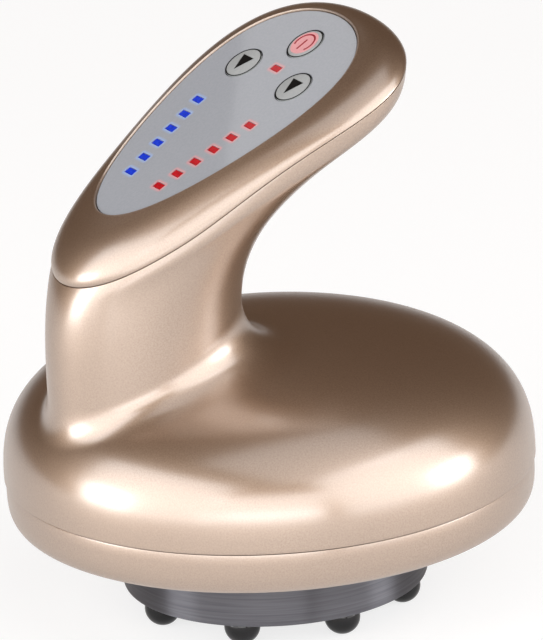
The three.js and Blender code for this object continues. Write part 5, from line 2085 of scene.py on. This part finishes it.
@dataclass
class ReturnSpring(Assembly):
    """The release valve's wound spring, which shortens as the plunger comes down on it."""

    wire: float = 0.25
    windings: int = 3
    steps: int = 28
    wire_facets: int = 12
    # How much closer than even the end windings lie.
    end_closeness: float = 0.11
    travel: float = 1.5

    def coil(self, radius: float, height: float) -> np.ndarray:
        """Give the wire's rings, whose end turns lie closer together.

        Args:
            radius: From the axis to the middle of the wire.
            height: Overall height of the spring.

        Returns:
            Points by ring and by place on the ring.
        """
        share = np.linspace(0.0, 1.0, self.windings * self.steps + 1)
        angle = 2 * math.pi * self.windings * share
        rise = share - self.end_closeness * np.sin(2 * math.pi * share)
        out = np.stack([np.cos(angle), np.sin(angle), np.zeros_like(angle)], axis=-1)
        middle = out * radius
        middle[:, 2] = self.wire + rise * (height - 2 * self.wire)
        along = np.gradient(middle, axis=0)
        along /= np.linalg.norm(along, axis=1, keepdims=True)
        across = np.cross(along, out)
        around = turns(self.wire_facets)[None, :, None]
        return middle[:, None] + self.wire * (
            np.cos(around) * out[:, None] + np.sin(around) * across[:, None]
        )

    def build(self) -> None:
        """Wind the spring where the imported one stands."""
        low, high = (np.array(corner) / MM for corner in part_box("valve_spring"))
        middle = (low + high) / 2
        height = high[2] - low[2]
        foot = np.array([middle[0], middle[1], low[2]])
        rings = self.coil((high[0] - low[0]) / 2 - self.wire, height) + foot
        piece = loft("valve_spring_wound", rings, capped=True)
        self.fitter.fit(piece, Body.HOUSING, Slot.PLAIN_STEEL, ("valve_spring",))
        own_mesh(piece)


@dataclass
class CarriedParts(Assembly):
    """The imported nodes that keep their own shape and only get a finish."""

    nodes: dict[str, Piece]
    subparts: list[dict]

    def build(self) -> None:
        """Give every remaining node the finish of its slot."""
        slots = {part["node"]: Slot(part["material_slot"]) for part in self.subparts}
        for name, node in self.nodes.items():
            if name in self.fitter.replaced:
                continue
            material = self.fitter.finishes.by_slot[slots[name]]
            if not node.data.materials:
                node.data.materials.append(material)
            for i in range(len(node.data.materials)):
                node.data.materials[i] = material
            LOG.info("%s keeps its shape", name)


# Studio


@dataclass(frozen=True)
class SoftBox:
    """A soft box that faces the object: degrees to the right of the camera and over the object,
    metres away, width and height in metres, watts, and degrees of roll about its beam."""

    name: str
    from_camera: float
    elevation: float
    distance: float
    size: Pair
    watts: float
    roll: float = 0.0


@dataclass
class Studio:
    """Pale floor, soft boxes and the photograph's camera."""

    azimuth: float = 29.1
    elevation: float = 19.5
    roll: float = 3.06
    distance: float = 2500.0
    focal_pixels: float = 10962.0
    image_height: int = 640
    aim_height: float = 67.113
    aim_side: float = 2.117
    mirrored_floor: float = 0.3
    mirrored_room: float = 0.03
    floor_radii: tuple[float, float, float] = (0.01, 400.0, 8000.0)
    floor_clouds: float = 3.0
    floor_glow: float = 1.14
    # From how near to how far, in metres, the floor's white share goes from low to high.
    floor_fade: Pair = (0.4, 1.6)
    floor_white: Pair = (0.68, 0.9)
    room_tone: str = "#d09050"
    room_glow: float = 0.13
    box_aim: float = 0.07
    boxes: tuple[SoftBox, ...] = (
        SoftBox("left_soft_box", -56, 18, 1.1, (1.35, 1.3), 12.5),
        SoftBox("right_soft_box", 60, 20, 1.1, (1.35, 1.3), 12.5),
        SoftBox("left_strip", -74, 7, 1.0, (0.4, 0.3), 1.6),
        SoftBox("right_strip", 84, 7, 1.0, (0.4, 0.3), 1.6),
        SoftBox("front_soft_box", 0, 16, 2.9, (2.4, 1.6), 27),
        SoftBox("front_low_card", -4, -2, 0.3, (0.26, 0.06), 0.08),
        SoftBox("top_soft_box", 40, 70, 1.3, (1.3, 1.1), 4),
        SoftBox("rear_glare_card", -153.1, 42.1, 1.142, (0.26, 0.7), 0.4, -70.6),
    )

    def axes(self) -> tuple[Vector, Vector, Vector]:
        """Give the camera's level right, its up and its backward directions.

        Returns:
            Right, up and back, before the roll.
        """
        a, e = math.radians(self.azimuth), math.radians(self.elevation)
        right = Vector((math.cos(a), -math.sin(a), 0))
        away = Vector((math.sin(a), math.cos(a), 0))
        up = away * math.sin(e) + Vector((0, 0, math.cos(e)))
        back = -away * math.cos(e) + Vector((0, 0, math.sin(e)))
        return right, up, back

    def camera(self) -> None:
        """Make the camera where the photograph was taken from."""
        right, up, back = self.axes()
        turn = math.radians(self.roll)
        across = right * math.cos(turn) - up * math.sin(turn)
        upward = right * math.sin(turn) + up * math.cos(turn)
        aim = Vector((0, 0, self.aim_height)) + right * self.aim_side
        lens = bpy.data.cameras.new("camera")
        lens.sensor_fit = "VERTICAL"
        lens.sensor_height = 36.0
        lens.lens = self.focal_pixels / self.image_height * lens.sensor_height
        lens.clip_end = 60.0
        camera = linked("camera", lens)
        place = (aim + back * self.distance) * MM
        turned = Matrix((across, upward, back)).transposed().to_4x4()
        camera.matrix_world = Matrix.Translation(place) @ turned
        bpy.context.scene.camera = camera

    def white_share(self, tree: Tree, seen: Socket | float, mirrored: float) -> Socket:
        """Mix how much of the white backdrop each kind of ray meets.

        Args:
            tree: The node tree.
            seen: The camera's share.
            mirrored: The share that metal, gloss and clear plastic show.

        Returns:
            The share, and none of it for light that falls on matt things.
        """
        rays = add_node(tree, "LightPath").outputs
        total: Socket | float = 0.0
        for ray, part in (
            ("Is Camera Ray", seen),
            ("Is Glossy Ray", mirrored),
            ("Is Transmission Ray", mirrored),
        ):
            terms = {0: rays[ray], 1: part, 2: total}
            added = add_node(tree, "Math", terms, operation="MULTIPLY_ADD", use_clamp=True)
            total = added.outputs[0]
        return total

    def floor(self) -> None:
        """Make the pale floor, a wide disc that keeps the object's shadow."""
        rings = [
            [(r * math.cos(a), r * math.sin(a), 0.0) for a in turns(MEDIUM_AROUND)]
            for r in self.floor_radii
        ]
        piece = loft("floor", np.array(rings))
        made = new_material("pale_floor")
        tree = made.node_tree
        place = add_node(tree, "TexCoord").outputs["Object"]
        cloud = add_node(tree, "TexNoise", {"Vector": place, "Scale": self.floor_clouds})
        tone = add_node(tree, "ValToRGB", {"Fac": cloud}, ((0.3, "#f1f1f1"), (0.7, "#f4f4f4")))
        matt = add_node(tree, "BsdfDiffuse", {"Color": tone})
        white = add_node(tree, "Emission", {"Color": WHITE, "Strength": self.floor_glow})
        away = add_node(tree, "VectorMath", {0: place}, operation="LENGTH").outputs["Value"]
        near, far = self.floor_fade
        low, high = self.floor_white
        span = {"Value": away, "From Min": near, "From Max": far, "To Min": low, "To Max": high}
        seen = add_node(tree, "MapRange", span).outputs[0]
        share = self.white_share(tree, seen, self.mirrored_floor)
        mixed = add_node(tree, "MixShader", {0: share, 1: matt, 2: white})
        add_node(tree, "OutputMaterial", {"Surface": mixed})
        piece.data.materials.append(made)

    def soft_box(self, box: SoftBox) -> None:
        """Hang a soft box.

        Args:
            box: Its place, size and light.
        """
        right, _, _ = self.axes()
        a = math.radians(self.azimuth)
        near = -Vector((math.sin(a), math.cos(a), 0))
        turn, lift = math.radians(box.from_camera), math.radians(box.elevation)
        level = near * math.cos(turn) + right * math.sin(turn)
        way = level * math.cos(lift) + Vector((0, 0, math.sin(lift)))
        light = bpy.data.lights.new(box.name, "AREA")
        light.shape = "RECTANGLE"
        light.size, light.size_y = box.size
        light.energy = box.watts
        lamp = linked(box.name, light)
        lamp.location = way * box.distance + Vector((0, 0, self.box_aim))
        facing = way.to_track_quat("Z", "Y").to_matrix()
        rolled = Matrix.Rotation(math.radians(box.roll), 3, "Z")
        lamp.rotation_euler = (facing @ rolled).to_euler()

    def world(self) -> None:
        """Make the room: white to the camera, a dim warm brown in the paint and on matt things."""
        world = bpy.data.worlds.new("room")
        bpy.context.scene.world = world
        world.use_nodes = True
        tree = world.node_tree
        tree.nodes.clear()
        dim = {"Color": linear(self.room_tone), "Strength": self.room_glow}
        room = add_node(tree, "Background", dim)
        white = add_node(tree, "Background", {"Color": WHITE, "Strength": 1.0})
        share = self.white_share(tree, 1.0, self.mirrored_room)
        mixed = add_node(tree, "MixShader", {0: share, 1: room, 2: white})
        add_node(tree, "OutputWorld", {"Surface": mixed})

    def build(self) -> None:
        """Set up floor, lights, room and camera."""
        self.camera()
        self.floor()
        for box in self.boxes:
            self.soft_box(box)
        self.world()
        bpy.context.scene.view_settings.view_transform = "Standard"


def main() -> None:
    """Build the object's pieces in order, dress the rest and set up the studio."""
    logging.basicConfig(level=logging.INFO, format="%(name)s: %(message)s")
    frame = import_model()
    fitter = Fitter(FinishSet())
    plane, panel, dome = HandlePlane(), PanelForm(), DomeForm()
    UpperHousing(fitter, plane, panel, dome).build()
    ControlHead(fitter, plane, panel).build()
    LowerHousing(fitter, dome).build()
    SuctionCup(fitter).build()
    ReturnSpring(fitter).build()
    CarriedParts(fitter, frame["nodes"], frame["record"]["subparts"]).build()
    Studio().build()
    LOG.info("%d pieces made, %d nodes replaced", fitter.made, len(fitter.replaced))


if __name__ == "__main__":
    main()
